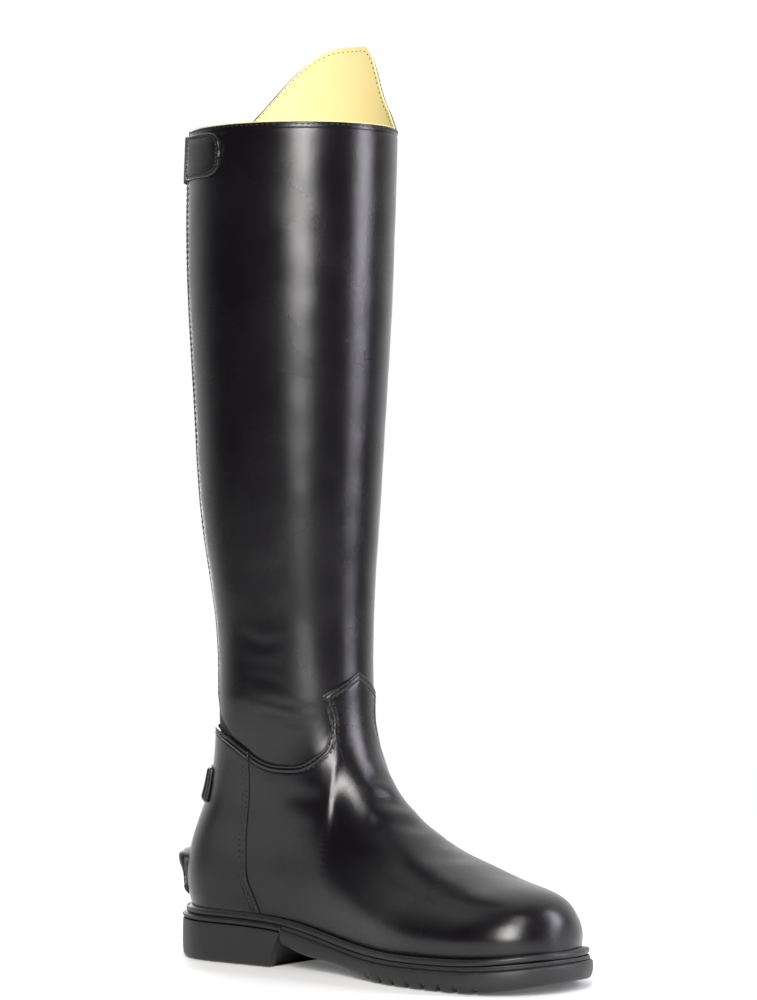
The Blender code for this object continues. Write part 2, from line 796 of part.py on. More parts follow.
# Bottom
def stations():
    """Shares along the foot, close together at heel, breast and toe."""
    breast = HEEL_LENGTH / FOOT_LENGTH
    behind = np.array([0.0, 0.006, 0.025, 0.06, 0.11, 0.18, 0.28, 0.42, 0.60, 0.80]) * breast
    ahead = breast + np.array([0.08, 0.16, 0.25, 0.34, 0.43, 0.52, 0.61, 0.70, 0.78, 0.85,
                               0.905, 0.945, 0.972, 0.989, 0.997, 1.0]) * (1 - breast)
    return np.concatenate([behind, [breast - 0.0006, breast + 0.0006], ahead])


def outline_ring(shares, offset):
    """Closed ring at the feather line's height, moved out by the offset, over the shares."""
    half = np.arccos(1 - 2 * np.asarray(shares)) / (2 * np.pi)
    u = np.concatenate([half, 1 - half[-2:0:-1]])
    ring = leather(u, 0.0, offset)
    ring[:, 2] = feather_z(ring[:, 0])
    return ring


def sole_bottom(s):
    """Height of the outsole's underside at share s along."""
    breast = HEEL_LENGTH / FOOT_LENGTH
    seat = feather_z(s * FOOT_LENGTH - HEEL_BACK) - WELT_THICK - SEAT_THICK
    tread = smooth_curve(UNDERSIDE[:, 0], UNDERSIDE[:, 1])(s) * FOREFOOT_HEIGHT
    tread = np.where((s > 0.63) & (s < 0.82), 0.0, np.maximum(tread, 0.0))
    return np.where(s < breast, seat, tread)


def with_sides(values):
    """Values per station, repeated for the other side of the ring."""
    return np.concatenate([values, values[-2:0:-1]])


def make_welt(look, group):
    """Strip round the feather line that carries the stitches."""
    ring = stations()
    corners = ((-WELT_INSIDE, 0.0), (0.88 * WELT_MARGIN, 0.0), (WELT_MARGIN, -0.30 * WELT_THICK),
               (WELT_MARGIN, -0.78 * WELT_THICK), (0.86 * WELT_MARGIN, -WELT_THICK),
               (-WELT_INSIDE, -WELT_THICK))
    rings = [outline_ring(ring, offset) + (0, 0, down - SEAM_GAP) for offset, down in corners]
    return wall_loft("welt", np.stack(rings, axis=1), look, group, closed=True)


def make_outsole(look, group, cutters):
    """Rubber sole: tread, stepped side, and a bed that fills the welt."""
    shares = stations()
    low = with_sides(sole_bottom(shares))
    bed = SEAM_GAP + GAP
    top = with_sides(feather_z(shares * FOOT_LENGTH - HEEL_BACK)) - WELT_THICK - bed
    rings = []
    for rise, reach in SOLE_SIDE:
        ring = outline_ring(shares, reach * SOLE_MARGIN)
        ring[:, 2] = low + (top - low) * rise
        rings.append(ring)
    inside = outline_ring(shares, -WELT_INSIDE - GAP)
    rings.append(inside - (0, 0, WELT_THICK + bed))
    rings.append(inside - (0, 0, bed))
    body = stack_loft("outsole", np.array(rings), look, group)
    for i in range(TREAD_COUNT):
        x = TREAD_START + i * TREAD_PITCH
        name = f"tread groove {i}"
        groove = box_mesh(name, (x, -BALL_WIDTH, -TREAD_DEPTH), (x + TREAD_GROOVE, BALL_WIDTH, TREAD_DEPTH))
        cut(body, cutter_object(name, groove, cutters))
    return body


def make_heel(look, group, cutters):
    """Heel block with a slanted, hollow breast."""
    breast = HEEL_LENGTH / FOOT_LENGTH
    levels = ((0.0, 0.70), (0.07, 0.92), (0.5, 1.0), (1.0, 0.96))
    along = np.array([0.0, 0.004, 0.016, 0.04, 0.08, 0.14, 0.22, 0.34, 0.50, 0.67, 0.84, 1.0])
    rings = []
    for rise, reach in levels:
        shares = along * (breast - GAP / FOOT_LENGTH - (1 - rise) * HEEL_SLANT / FOOT_LENGTH)
        half = np.arccos(1 - 2 * shares) / (2 * np.pi)
        ring = leather(np.concatenate([half, 1 - half[:0:-1]]), 0.0, reach * SOLE_MARGIN)
        seat = np.concatenate([shares, shares[:0:-1]])
        ring[:, 2] = (sole_bottom(seat) - GAP) * rise
        rings.append(ring)
    body = stack_loft("heel", np.array(rings), look, group)
    tilt = math.atan2(HEEL_SLANT, HEEL_HEIGHT - WELT_THICK - SEAT_THICK)
    reach = BALL_WIDTH * 0.36
    radius = (reach**2 + BREAST_HOLLOW**2) / (2 * BREAST_HOLLOW)
    mesh = bpy.data.meshes.new("breast hollow")
    work = bmesh.new()
    bmesh.ops.create_cone(work, cap_ends=True, segments=96, radius1=radius, radius2=radius,
                          depth=4 * HEEL_HEIGHT)
    work.to_mesh(mesh)
    work.free()
    tool = cutter_object("breast hollow", mesh, cutters)
    ground_x = HEEL_LENGTH - HEEL_BACK - HEEL_SLANT
    tool.location = (ground_x + radius - BREAST_HOLLOW, 0.003, 0.0)
    tool.rotation_euler = (0.0, tilt, 0.0)
    cut(body, tool)
    return body


def make_insole(look, group):
    """Board that closes the foot underneath, inside the wall."""
    shares = stations()
    edge = -FOOT_LINING - 4 * GAP
    low = outline_ring(shares, edge)
    high = low + (0, 0, INSOLE_THICK)
    return stack_loft("insole", np.array([low + (0, 0, GAP), high]), look, group)


# Strap, snap, spur rest and keepers
def strap_band(name, span, lift, wall, look, group, round_start=0.0, round_end=0.0):
    """Band round the collar over a span of u; an end is rounded over a share of its length."""
    across = np.array([0.0, 0.03, 0.09, 0.2, 0.36, 0.5, 0.64, 0.8, 0.91, 0.97, 1.0])
    u = span[0] + (span[1] - span[0]) * across
    squeeze = np.ones_like(across)
    if round_start > 0:
        squeeze *= np.clip(1 - np.clip(1 - across / round_start, 0, 1) ** 2.6, 0, 1) ** (1 / 2.6)
    if round_end > 0:
        squeeze *= np.clip(1 - np.clip(1 - (1 - across) / round_end, 0, 1) ** 2.6, 0, 1) ** (1 / 2.6)
    squeeze = 0.12 + 0.88 * squeeze
    middle = COLLAR_HEIGHT - STRAP_DROP - STRAP_WIDTH / 2
    rows = np.linspace(-0.5, 0.5, 4)[None, :] * STRAP_WIDTH
    z = middle + rows * squeeze[:, None]
    v = v_at(z)
    grid_u = np.broadcast_to(u[:, None], v.shape)
    return wall_loft(name, band(grid_u, v, lift, lift + wall), look, group, closed=False)


def frame_on_leather(u, z, lift):
    """Matrix whose Z points out of the leather and whose Y points up along it."""
    v = v_at(z)
    centre = Vector(leather(u, v, lift))
    out = Vector(normals(np.array(u), np.array(v)))
    side = Vector((0, 0, 1)).cross(out).normalized()
    up = out.cross(side)
    turn = Matrix((side, up, out)).transposed().to_4x4()
    return Matrix.Translation(centre) @ turn


def turned(name, profile, look, group, place, steps=32):
    """A profile of (radius, height) pairs, outer side top to bottom, spun round Z."""
    mesh = bpy.data.meshes.new(name)
    points = [(radius, 0.0, height) for radius, height in profile]
    mesh.from_pydata(points, [(i, i + 1) for i in range(len(points) - 1)], [])
    body = add_object(name, mesh, look, group)
    body.matrix_world = place
    spin = body.modifiers.new("turned", "SCREW")
    spin.steps = steps
    spin.render_steps = steps
    spin.use_merge_vertices = True
    spin.merge_threshold = 0.00005
    spin.use_smooth_shade = True
    return body


def make_spur_rest(look, group):
    """Stitched tab on the heel, swelling into a ledge for the spur."""
    sections = []
    for place in np.linspace(-1, 1, 19):
        full = (1 - abs(place) ** 5) ** 0.4 if abs(place) < 1 else 0.0
        ledge = max(0.0, 1 - place**2) ** 0.6
        middle = (SPUR_TOP + SPUR_LOW) / 2
        low = middle + (SPUR_LOW - middle) * (0.35 + 0.65 * full)
        high = middle + (SPUR_TOP - middle) * (0.55 + 0.45 * full)
        u = place * u_at(SPUR_HALF, v_at(middle))
        corners = []
        for rise, wall, swell in SPUR_PROFILE:
            reach = SPUR_WALL * wall + SPUR_REACH * swell * ledge
            v = v_at(low + (high - low) * rise)
            corners.append(leather(u, v, COUNTER_LIFT + TRIM_GAP + reach))
        sections.append(corners)
    return wall_loft("spur_rest", np.array(sections), look, group, closed=False)


def make_keeper(name, side, look, group):
    """Small stitched patch with a raised bar, beside the lower zip."""
    places = np.array([0.0, 0.06, 0.30, 0.36, 0.64, 0.70, 0.94, 1.0])
    height = np.array([0.55, 1.0, 1.0, 1.7, 1.7, 1.0, 1.0, 0.55])
    squeeze = np.array([0.86, 1.0, 1.0, 1.0, 1.0, 1.0, 1.0, 0.86])
    start = u_at(KEEPER_NEAR, v_at(KEEPER_LOW))
    end = u_at(KEEPER_NEAR + KEEPER_WIDE, v_at(KEEPER_LOW))
    middle = KEEPER_LOW + KEEPER_TALL / 2
    rows = np.linspace(-0.5, 0.5, 5)[None, :] * KEEPER_TALL
    v = v_at(middle + rows * squeeze[:, None])
    u = np.broadcast_to((side * (start + (end - start) * places))[:, None], v.shape)
    base = COUNTER_LIFT + TRIM_GAP
    return wall_loft(name, band(u, v, base, base + KEEPER_WALL * height[:, None]), look, group, closed=False)


# Slider and pull
def slider_top():
    """Height of the slider's upper end, just under the strap."""
    return COLLAR_HEIGHT - STRAP_DROP - STRAP_WIDTH - SLIDER_DROP


def pivot_place():
    """Axis of the pull: its height and its distance out of the last."""
    z = slider_top() - 0.55 * SLIDER_LENGTH
    lift = FACING_LIFT + GAP + SLIDER_THICK + BRIDGE_HOLE / 2
    return Vector(leather(0.0, v_at(z), lift))


def make_slider(look, group, cutters):
    """Slider body with a bridge for the pull."""
    pivot = pivot_place()
    back = pivot.x + BRIDGE_HOLE / 2
    top = slider_top()
    low = (back, -SLIDER_WIDTH / 2, top - SLIDER_LENGTH)
    mesh = box_mesh("zip_slider", low, (back + SLIDER_THICK, SLIDER_WIDTH / 2, top))
    for corner in mesh.vertices:
        if corner.co.z < top - SLIDER_LENGTH / 2:
            corner.co.y *= 0.72
    body = add_object("zip_slider", mesh, look, group)
    round_edges(body, SLIDER_ROUND, 2)
    bridge = box_mesh("bridge", (pivot.x - BRIDGE_HOLE * 0.85, -BRIDGE_WIDTH / 2, pivot.z - BRIDGE_TALL / 2),
                      (back + SLIDER_THICK / 2, BRIDGE_WIDTH / 2, pivot.z + BRIDGE_TALL / 2))
    cut(body, cutter_object("bridge", bridge, cutters), "UNION")
    hole = bpy.data.meshes.new("bridge hole")
    work = bmesh.new()
    bmesh.ops.create_cone(work, cap_ends=True, segments=24, radius1=BRIDGE_HOLE / 2, radius2=BRIDGE_HOLE / 2,
                          depth=4 * BRIDGE_WIDTH)
    work.to_mesh(hole)
    work.free()
    tool = cutter_object("bridge hole", hole, cutters)
    tool.location = pivot + Vector((-0.0002, 0, 0))
    tool.rotation_euler = (math.radians(90), 0.0, 0.0)
    cut(body, tool)
    return body


def make_pull(metal, leather_look, group, cutters):
    """Metal tab with a window round the bridge, and the leather drop below it."""
    pivot = pivot_place()
    hinge = bpy.data.objects.new("zip pull axis", None)
    hinge.location = pivot
    group.objects.link(hinge)
    half_bar = PULL_BAR / 2
    plate = box_mesh("zip_pull_tab", (-half_bar, -PULL_WIDTH / 2, half_bar - PULL_LENGTH),
                     (half_bar, PULL_WIDTH / 2, half_bar))
    tab = add_object("zip_pull_tab", plate, metal, group)
    tab.parent = hinge
    half_window = BRIDGE_WIDTH / 2 + PULL_PLAY
    window = box_mesh("pull window", (-PULL_BAR, -half_window, -half_bar - PULL_WINDOW),
                      (PULL_BAR, half_window, -half_bar))
    tool = cutter_object("pull window", window, cutters)
    tool.parent = hinge
    cut(tab, tool)
    round_edges(tab, PULL_ROUND, 1)
    drop = add_object("zip_pull_leather", drop_mesh(), leather_look, group)
    drop.parent = hinge
    thick = drop.modifiers.new("thickness", "SOLIDIFY")
    thick.thickness = LEATHER_PULL_THICK
    thick.offset = 0.0
    round_edges(drop, LEATHER_PULL_ROUND, 2)
    return hinge


def drop_mesh():
    """Flat teardrop: narrow at the tab, widest low down, with a round end."""
    top = PULL_BAR / 2 - PULL_LENGTH - GAP
    share = np.linspace(0, 1, 19)
    swell = 0.5 + 0.5 * ease(0.05, 0.70, share)
    end = np.sqrt(np.clip(1 - np.clip((share - 0.80) / 0.20, 0, 1) ** 2, 0, 1))
    half = np.maximum(LEATHER_PULL_WIDTH / 2 * swell * end, 0.0004)
    z = top - LEATHER_PULL_LENGTH * share
    mesh = bpy.data.meshes.new("zip_pull_leather")
    points = [(0.0, -w, h) for w, h in zip(half, z)] + [(0.0, w, h) for w, h in zip(half, z)]
    count = len(share)
    faces = [(i, i + 1, count + i + 1, count + i) for i in range(count - 1)]
    mesh.from_pydata(points, [], faces)
    return mesh


def main():
    for old in list(bpy.data.objects):
        bpy.data.objects.remove(old, do_unlink=True)
    group = bpy.data.collections.new("dress_riding_boot")
    cutters = bpy.data.collections.new("cutters")
    bpy.context.scene.collection.children.link(group)
    bpy.context.scene.collection.children.link(cutters)

    calf = material("black calf leather", (0.012, 0.011, 0.013), 0.28)
    dull = material("black trim leather", (0.014, 0.013, 0.014), 0.42)
    rubber = material("black rubber", (0.018, 0.018, 0.019), 0.55)
    elastic = material("black elastic", (0.010, 0.010, 0.011), 0.9)
    coil = material("black zip coil", (0.015, 0.015, 0.016), 0.5)
    shiny = material("black enamel", (0.008, 0.008, 0.009), 0.15, 0.4)
    nickel = material("brushed grey metal", (0.20, 0.20, 0.21), 0.35, 0.9)
    board = material("pale yellow lining", (0.87, 0.74, 0.33), 0.6)

    make_outsole(rubber, group, cutters)
    make_heel(rubber, group, cutters)
    make_welt(dull, group)
    make_insole(board, group)
    make_upper(calf, group, cutters)
    make_shaft(calf, group)
    make_gusset(elastic, group)
    make_facing("zip_facing_inner", 1, FACING_SHARE, dull, group)
    make_facing("zip_facing_outer", -1, OUTER_SHARE - 0.0015, dull, group)
    make_tape(elastic, group)
    make_teeth(coil, group)
    make_slider(shiny, group, cutters)
    make_pull(shiny, dull, group, cutters)

    over_facing = FACING_LIFT + GAP
    strap_band("strap_anchor", ANCHOR_SHARES, GAP, STRAP_WALL, dull, group, round_end=0.35)
    strap_band("strap_elastic", ELASTIC_SHARES, over_facing, ELASTIC_WALL, elastic, group)
    strap_band("strap_end", STRAP_END_SHARES, over_facing, STRAP_WALL, dull, group, round_start=0.30)
    strap_middle = COLLAR_HEIGHT - STRAP_DROP - STRAP_WIDTH / 2
    snap = frame_on_leather(SNAP_SHARE, strap_middle, over_facing + STRAP_WALL + GAP)
    profile = [(reach * SNAP_DIAMETER / 2, rise * SNAP_HEIGHT) for reach, rise in SNAP_PROFILE]
    turned("snap_cap", profile, nickel, group, snap)
    make_spur_rest(dull, group)
    make_keeper("keeper_inner", 1, dull, group)
    make_keeper("keeper_outer", -1, dull, group)


main()
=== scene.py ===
# %% [markdown]
# A tall black riding boot, for the left foot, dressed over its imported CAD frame.
# The frame gives the true size and place of every piece. This lesson adds the looks:
# a finer skin over each leather wall, the stitches, the zip's coil, the creases and the
# materials. Everything is in metres, with the toe along +X and the outer side along +Y.

# %% Load the frame
import math

import bmesh
import bpy
import numpy as np
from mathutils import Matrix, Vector


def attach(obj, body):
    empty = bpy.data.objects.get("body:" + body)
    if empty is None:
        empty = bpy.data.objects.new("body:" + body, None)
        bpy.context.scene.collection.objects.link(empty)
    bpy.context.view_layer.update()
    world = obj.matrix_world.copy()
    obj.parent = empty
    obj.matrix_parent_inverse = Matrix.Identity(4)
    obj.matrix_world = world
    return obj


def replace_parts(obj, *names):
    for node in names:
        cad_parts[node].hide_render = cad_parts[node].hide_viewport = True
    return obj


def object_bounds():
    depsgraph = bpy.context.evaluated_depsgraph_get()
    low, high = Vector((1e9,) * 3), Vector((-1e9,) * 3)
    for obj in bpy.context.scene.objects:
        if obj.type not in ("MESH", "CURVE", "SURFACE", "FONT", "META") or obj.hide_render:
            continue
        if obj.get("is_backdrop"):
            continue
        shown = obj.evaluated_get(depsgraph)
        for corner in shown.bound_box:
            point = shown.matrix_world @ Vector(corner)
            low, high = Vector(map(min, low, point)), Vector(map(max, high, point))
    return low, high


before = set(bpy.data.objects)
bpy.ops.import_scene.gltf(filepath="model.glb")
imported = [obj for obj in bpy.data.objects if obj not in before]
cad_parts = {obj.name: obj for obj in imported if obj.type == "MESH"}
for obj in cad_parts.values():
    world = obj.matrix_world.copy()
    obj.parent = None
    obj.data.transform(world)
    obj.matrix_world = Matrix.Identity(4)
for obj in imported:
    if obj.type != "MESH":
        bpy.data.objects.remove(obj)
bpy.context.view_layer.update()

# %% [markdown]
# The last is the foot-shaped form that a shoemaker pulls leather over. Every leather
# piece of the boot is a layer on it, so the last is worked out first, from the same
# sizes and tables as the CAD part. A point on it has two shares: u runs round the boot
# from the centre back over the inner side (0.5 is the toe and the shin) and home over
# the outer side; v runs up from the feather line (0) over the ankle (1) to the collar (2).

# %% Sizes of the last and of the layers on it
# Last
FOOT_LENGTH = 0.262        # heel to toe along the feather line
BALL_WIDTH = 0.0905        # width of the last at the ball
HEEL_BACK = 0.030          # from the origin back to the last's heel
HEEL_HEIGHT = 0.0285       # ground to feather line at the heel
FOREFOOT_HEIGHT = 0.0165   # ground to feather line at the ball
TOE_SPRING = 0.005         # lift of the toe over the ball
ANKLE_HEIGHT = 0.1475      # ground to the narrow ring over the instep
ANKLE_DEPTH = 0.092        # front to back at that ring
ANKLE_WIDTH = 0.080
ANKLE_SETBACK = 0.0225     # how far the back line comes forward over the heel
COLLAR_HEIGHT = 0.4625     # ground to the level part of the collar
CALF_DEPTH = 0.124
CALF_WIDTH = 0.110
PEAK_RISE = 0.052          # the collar's peak on the outer side

# Walls, as thicknesses and as lifts from the last
GAP = 0.0003
SHAFT_WALL = 0.0018
VAMP_LIFT = 0.0012
COUNTER_LIFT = 0.0019
FOOT_LINING = 0.0010
SEAM_GAP = 0.0005          # between the foot's top edge and the leg tucked under it
TRIM_GAP = 0.0005          # under what is sewn on the counter
ELASTIC_RECESS = 0.0004
ELASTIC_WALL = 0.0012

# Bottom
WELT_THICK = 0.0030
WELT_MARGIN = 0.0052       # past the last
WELT_INSIDE = 0.010
SOLE_MARGIN = 0.0072
SEAT_THICK = 0.0040        # sole over the heel block
HEEL_LENGTH = 0.086        # along the top of the heel block
HEEL_SLANT = 0.009         # its breast runs back by this to the ground
BREAST_HOLLOW = 0.007
TREAD_PITCH = 0.0105
TREAD_GROOVE = 0.0028
TREAD_DEPTH = 0.0020
TREAD_START = 0.128
TREAD_COUNT = 8

# Zip at the centre back
ZIP_LOW = 0.0570           # its lower end over the ground
ZIP_SLOT = 0.0080          # half width of the slot in the foot
TEETH_HALF = 0.0028
TEETH_CROWN = 0.0003       # over the last in the middle
TEETH_DROP = 0.012         # from the collar down to the teeth's top end
FACING_EDGE = 0.0034       # from the centre to each facing
FACING_LIFT = 0.0004
FACING_WALL = 0.0022
TAPE_LIFT = -0.0022
SLIDER_LENGTH = 0.017
SLIDER_THICK = 0.0022
SLIDER_DROP = 0.001        # under the strap
BRIDGE_HOLE = 0.0034
PULL_BAR = 0.0016
PULL_LENGTH = 0.0150
LEATHER_PULL_LENGTH = 0.042
LEATHER_PULL_WIDTH = 0.017
LEATHER_PULL_THICK = 0.0024

# Strap and snap
STRAP_WIDTH = 0.0245
STRAP_DROP = 0.0035        # from the collar down to the strap
STRAP_WALL = 0.0019

# Places of the strap's pieces, as shares round the leg
ANCHOR_SHARES = (0.147, 0.243)
STRAP_END_SHARES = (-0.115, 0.025)
STRAP_SEAM_SHARE = 0.0013
ELASTIC_SHARES = (STRAP_END_SHARES[1] + STRAP_SEAM_SHARE, ANCHOR_SHARES[0] - STRAP_SEAM_SHARE)

# Spur rest and keepers
SPUR_TOP = 0.0560
SPUR_LOW = 0.0330
SPUR_HALF = 0.018          # half width
SPUR_WALL = 0.0018
SPUR_REACH = 0.0080        # the ledge past the tab's face
KEEPER_LOW = 0.0880
KEEPER_TALL = 0.020
KEEPER_NEAR = 0.0185       # from the middle plane to its near edge
KEEPER_WIDE = 0.009
KEEPER_WALL = 0.0015
print("last, mm:", 1000 * FOOT_LENGTH, "long,", 1000 * BALL_WIDTH, "wide, collar at", 1000 * COLLAR_HEIGHT)

# %% [markdown]
# The tables below are the lines that a pattern maker reads off a last: its outline from
# above, its front and back profiles, the leg's depth and width, the run of each seam.

# %% Lines of the last
# Feather line: share along, share of the heel's rise, share of the toe spring
FEATHER = np.array([
    (0.00, 1.000, 0.00),
    (0.16, 0.985, 0.00),
    (0.34, 0.800, 0.00),
    (0.50, 0.220, 0.00),
    (0.62, 0.000, 0.00),
    (0.76, 0.000, 0.00),
    (0.90, 0.000, 0.35),
    (1.00, 0.000, 1.00),
])

# Outline: share along, half width and centre shift as shares of the ball width
OUTLINE = np.array([
    (0.00, 0.325, 0.000),
    (0.10, 0.335, 0.000),
    (0.25, 0.328, 0.015),
    (0.40, 0.335, 0.035),
    (0.55, 0.410, 0.045),
    (0.70, 0.500, 0.035),
    (0.82, 0.475, 0.000),
    (0.92, 0.430, -0.040),
    (1.00, 0.410, -0.060),
])
HEEL_ROUND_SHARE = 0.125
TOE_ROUND_SHARE = 0.170

# Front line: share from the shin forward to the toe, share from the feather line up
FRONT = np.array([
    (1.000, 0.000),
    (0.998, 0.080),
    (0.983, 0.150),
    (0.945, 0.195),
    (0.880, 0.225),
    (0.735, 0.255),
    (0.560, 0.305),
    (0.370, 0.380),
    (0.220, 0.490),
    (0.100, 0.635),
    (0.020, 0.820),
    (0.000, 1.000),
])

# Back line under the ankle: share up, share of the setback
BACK = np.array([
    (0.00, 0.04),
    (0.11, -0.12),
    (0.22, -0.07),
    (0.39, 0.25),
    (0.53, 0.60),
    (0.69, 0.87),
    (0.86, 1.00),
    (1.00, 1.00),
])

# Leg: share up from ankle to collar, setback, share from ankle size to calf size
LEG = np.array([
    (0.00, 1.00, 0.00),
    (0.12, 0.92, 0.03),
    (0.30, 0.52, 0.39),
    (0.50, 0.30, 0.66),
    (0.70, 0.14, 0.89),
    (0.87, 0.10, 0.98),
    (1.00, 0.18, 0.97),
    (1.25, 0.25, 0.92),
])

# Lower leg and heel cup: height as a share of the ankle's, width as a share of its width
CUP = np.array([
    (0.20, 0.84),
    (0.40, 0.86),
    (0.60, 0.88),
    (0.80, 0.93),
    (1.00, 1.00),
    (1.20, 1.02),
])

# Foot's top seam on one side: u, v
TOP_SEAM = np.array([
    (0.000, 0.885),
    (0.120, 0.888),
    (0.165, 0.876),
    (0.215, 0.842),
    (0.255, 0.808),
    (0.290, 0.802),
    (0.332, 0.817),
    (0.372, 0.852),
    (0.408, 0.902),
    (0.424, 0.955),
    (0.432, 1.012),
])
SEAM_PEAK_SHARE = 1.047          # v at the tab's point on the shin

# End of the leg wall inside the foot: u, v
TUCK = np.array([
    (0.000, 0.832),
    (0.150, 0.825),
    (0.215, 0.785),
    (0.290, 0.742),
    (0.372, 0.785),
    (0.420, 0.862),
    (0.455, 0.930),
    (0.500, 0.965),
])

# Front edge of the counter: share up the foot, u
COUNTER_EDGE = np.array([
    (0.00, 0.170),
    (0.12, 0.166),
    (0.34, 0.174),
    (0.60, 0.189),
    (0.86, 0.213),
    (1.00, 0.232),
])
COUNTER_SHARE = 0.200
TUCK_SLACK_SHARE = 0.005         # v left between the leg's edge and the ledge under it
PANEL_SHARE = 0.10             # where the panels at the back read their lower edge

# Collar peak: u, share of the rise
PEAK = np.array([
    (0.600, 0.00),
    (0.616, 0.02),
    (0.638, 0.09),
    (0.664, 0.25),
    (0.694, 0.52),
    (0.708, 0.75),
    (0.724, 0.95),
    (0.745, 1.00),
    (0.785, 1.00),
    (0.815, 0.94),
    (0.845, 0.80),
    (0.875, 0.60),
    (0.898, 0.42),
    (0.927, 0.20),
    (0.945, 0.06),
    (0.960, 0.00),
])

# Leg's edge along the elastic gusset: share up from seam to collar, u
GUSSET_EDGE = np.array([
    (0.00, 0.168),
    (0.035, 0.186),
    (0.07, 0.158),
    (0.15, 0.115),
    (0.40, 0.112),
    (0.70, 0.120),
    (1.00, 0.127),
])
FACING_SHARE = 0.055           # outer edge of the inner facing
OUTER_SHARE = 0.050            # and of the outer one

# Sole's underside: share along, height from the ground as a share of the forefoot height
UNDERSIDE = np.array([
    (0.335, 0.74),
    (0.380, 0.52),
    (0.430, 0.42),
    (0.500, 0.33),
    (0.570, 0.14),
    (0.630, 0.00),
    (0.820, 0.00),
    (0.920, 0.09),
    (1.000, 0.34),
])

# Spur rest: share up, share of the ledge
SPUR_PROFILE = np.array([
    (0.00, 0.00),
    (0.18, 0.03),
    (0.42, 0.08),
    (0.60, 0.38),
    (0.74, 0.81),
    (0.86, 1.00),
    (0.95, 0.94),
    (1.00, 0.69),
])
print("rows in the outline and the leg:", len(OUTLINE), len(LEG))

# %% [markdown]
# A smooth curve goes through each table, and two functions make the surface from them:
# the last's points, and its normals, along which a layer of leather is lifted.

# %% The last as a function of two shares
def smooth_curve(xs, ys):
    """Natural cubic spline through the rows, held level past its ends."""
    xs = np.asarray(xs, float)
    ys = np.asarray(ys, float)
    step = np.diff(xs)
    slope = np.diff(ys) / step
    count = len(xs)
    matrix = np.eye(count)
    right = np.zeros(count)
    for i in range(1, count - 1):
        matrix[i, i - 1:i + 2] = step[i - 1], 2 * (step[i - 1] + step[i]), step[i]
        right[i] = 6 * (slope[i] - slope[i - 1])
    bend = np.linalg.solve(matrix, right)

    def curve(x):
        x = np.clip(x, xs[0], xs[-1])
        i = np.clip(np.searchsorted(xs, x, side="right") - 1, 0, count - 2)
        t = x - xs[i]
        first = slope[i] - step[i] * (2 * bend[i] + bend[i + 1]) / 6
        return ys[i] + t * first + t**2 * bend[i] / 2 + t**3 * (bend[i + 1] - bend[i]) / (6 * step[i])

    return curve


def ease(low, high, x):
    """0 under low, 1 over high, and smooth between."""
    t = np.clip((x - low) / (high - low), 0, 1)
    return t * t * (3 - 2 * t)


def table_curve(table, column=1):
    """Curve of one of a table's columns over its first."""
    return smooth_curve(table[:, 0], table[:, column])


# Curves read from the tables
feather_rise = table_curve(FEATHER)
feather_spring = table_curve(FEATHER, 2)
outline_width = table_curve(OUTLINE)
outline_shift = table_curve(OUTLINE, 2)
back_share = table_curve(BACK)
leg_back = table_curve(LEG)
leg_size = table_curve(LEG, 2)
cup_width = table_curve(CUP)
seam_height = table_curve(TOP_SEAM)
tuck_height = table_curve(TUCK)
peak_share = table_curve(PEAK)
counter_lean = table_curve(COUNTER_EDGE)
gusset_line = table_curve(GUSSET_EDGE)
underside = table_curve(UNDERSIDE)

TOE_X = FOOT_LENGTH - HEEL_BACK
SHIN_X = ANKLE_SETBACK - HEEL_BACK + ANKLE_DEPTH
TOE_Z = FOREFOOT_HEIGHT + TOE_SPRING
LEG_HEIGHT = COLLAR_HEIGHT - ANKLE_HEIGHT
HEEL_RISE = ANKLE_HEIGHT - HEEL_HEIGHT


def front_line():
    """The front line as splines over the share of its length, toe to shin."""
    x = SHIN_X + FRONT[:, 0] * (TOE_X - SHIN_X)
    z = TOE_Z + FRONT[:, 1] * (ANKLE_HEIGHT - TOE_Z)
    length = np.concatenate([[0], np.cumsum(np.hypot(np.diff(x), np.diff(z)))])
    return smooth_curve(length / length[-1], x), smooth_curve(length / length[-1], z)


front_line_x, front_line_z = front_line()
FRONT_X = front_line_x(np.linspace(0, 1, 400))
FRONT_Z = front_line_z(np.linspace(0, 1, 400))


def feather_z(x):
    """Height of the feather line over the ground."""
    s = (x + HEEL_BACK) / FOOT_LENGTH
    rise = (HEEL_HEIGHT - FOREFOOT_HEIGHT) * feather_rise(s)
    return FOREFOOT_HEIGHT + rise + TOE_SPRING * feather_spring(s)


def foot_outline(s):
    """Half width and centre shift at share s along, rounded at heel and toe."""
    back = np.clip(1 - s / HEEL_ROUND_SHARE, 0, 1)
    front = np.clip((s - 1 + TOE_ROUND_SHARE) / TOE_ROUND_SHARE, 0, 1)
    ends = np.sqrt(1 - back**2) * (1 - front**2.15) ** (1 / 2.15)
    return outline_width(s) * BALL_WIDTH * ends, outline_shift(s) * BALL_WIDTH


def leg_at(z):
    """Back x, front x and width of the leg's ellipse at height z."""
    r = (z - ANKLE_HEIGHT) / LEG_HEIGHT
    size = leg_size(r)
    back = ANKLE_SETBACK * leg_back(r) - HEEL_BACK
    depth = ANKLE_DEPTH + (CALF_DEPTH - ANKLE_DEPTH) * size
    return back, back + depth, ANKLE_WIDTH + (CALF_WIDTH - ANKLE_WIDTH) * size


def back_x(z):
    low = ANKLE_SETBACK * back_share((z - HEEL_HEIGHT) / HEEL_RISE) - HEEL_BACK
    return np.where(z < ANKLE_HEIGHT, low, leg_at(z)[0])


def front_x(z):
    return np.where(z < ANKLE_HEIGHT, np.interp(z, FRONT_Z, FRONT_X), leg_at(z)[1])


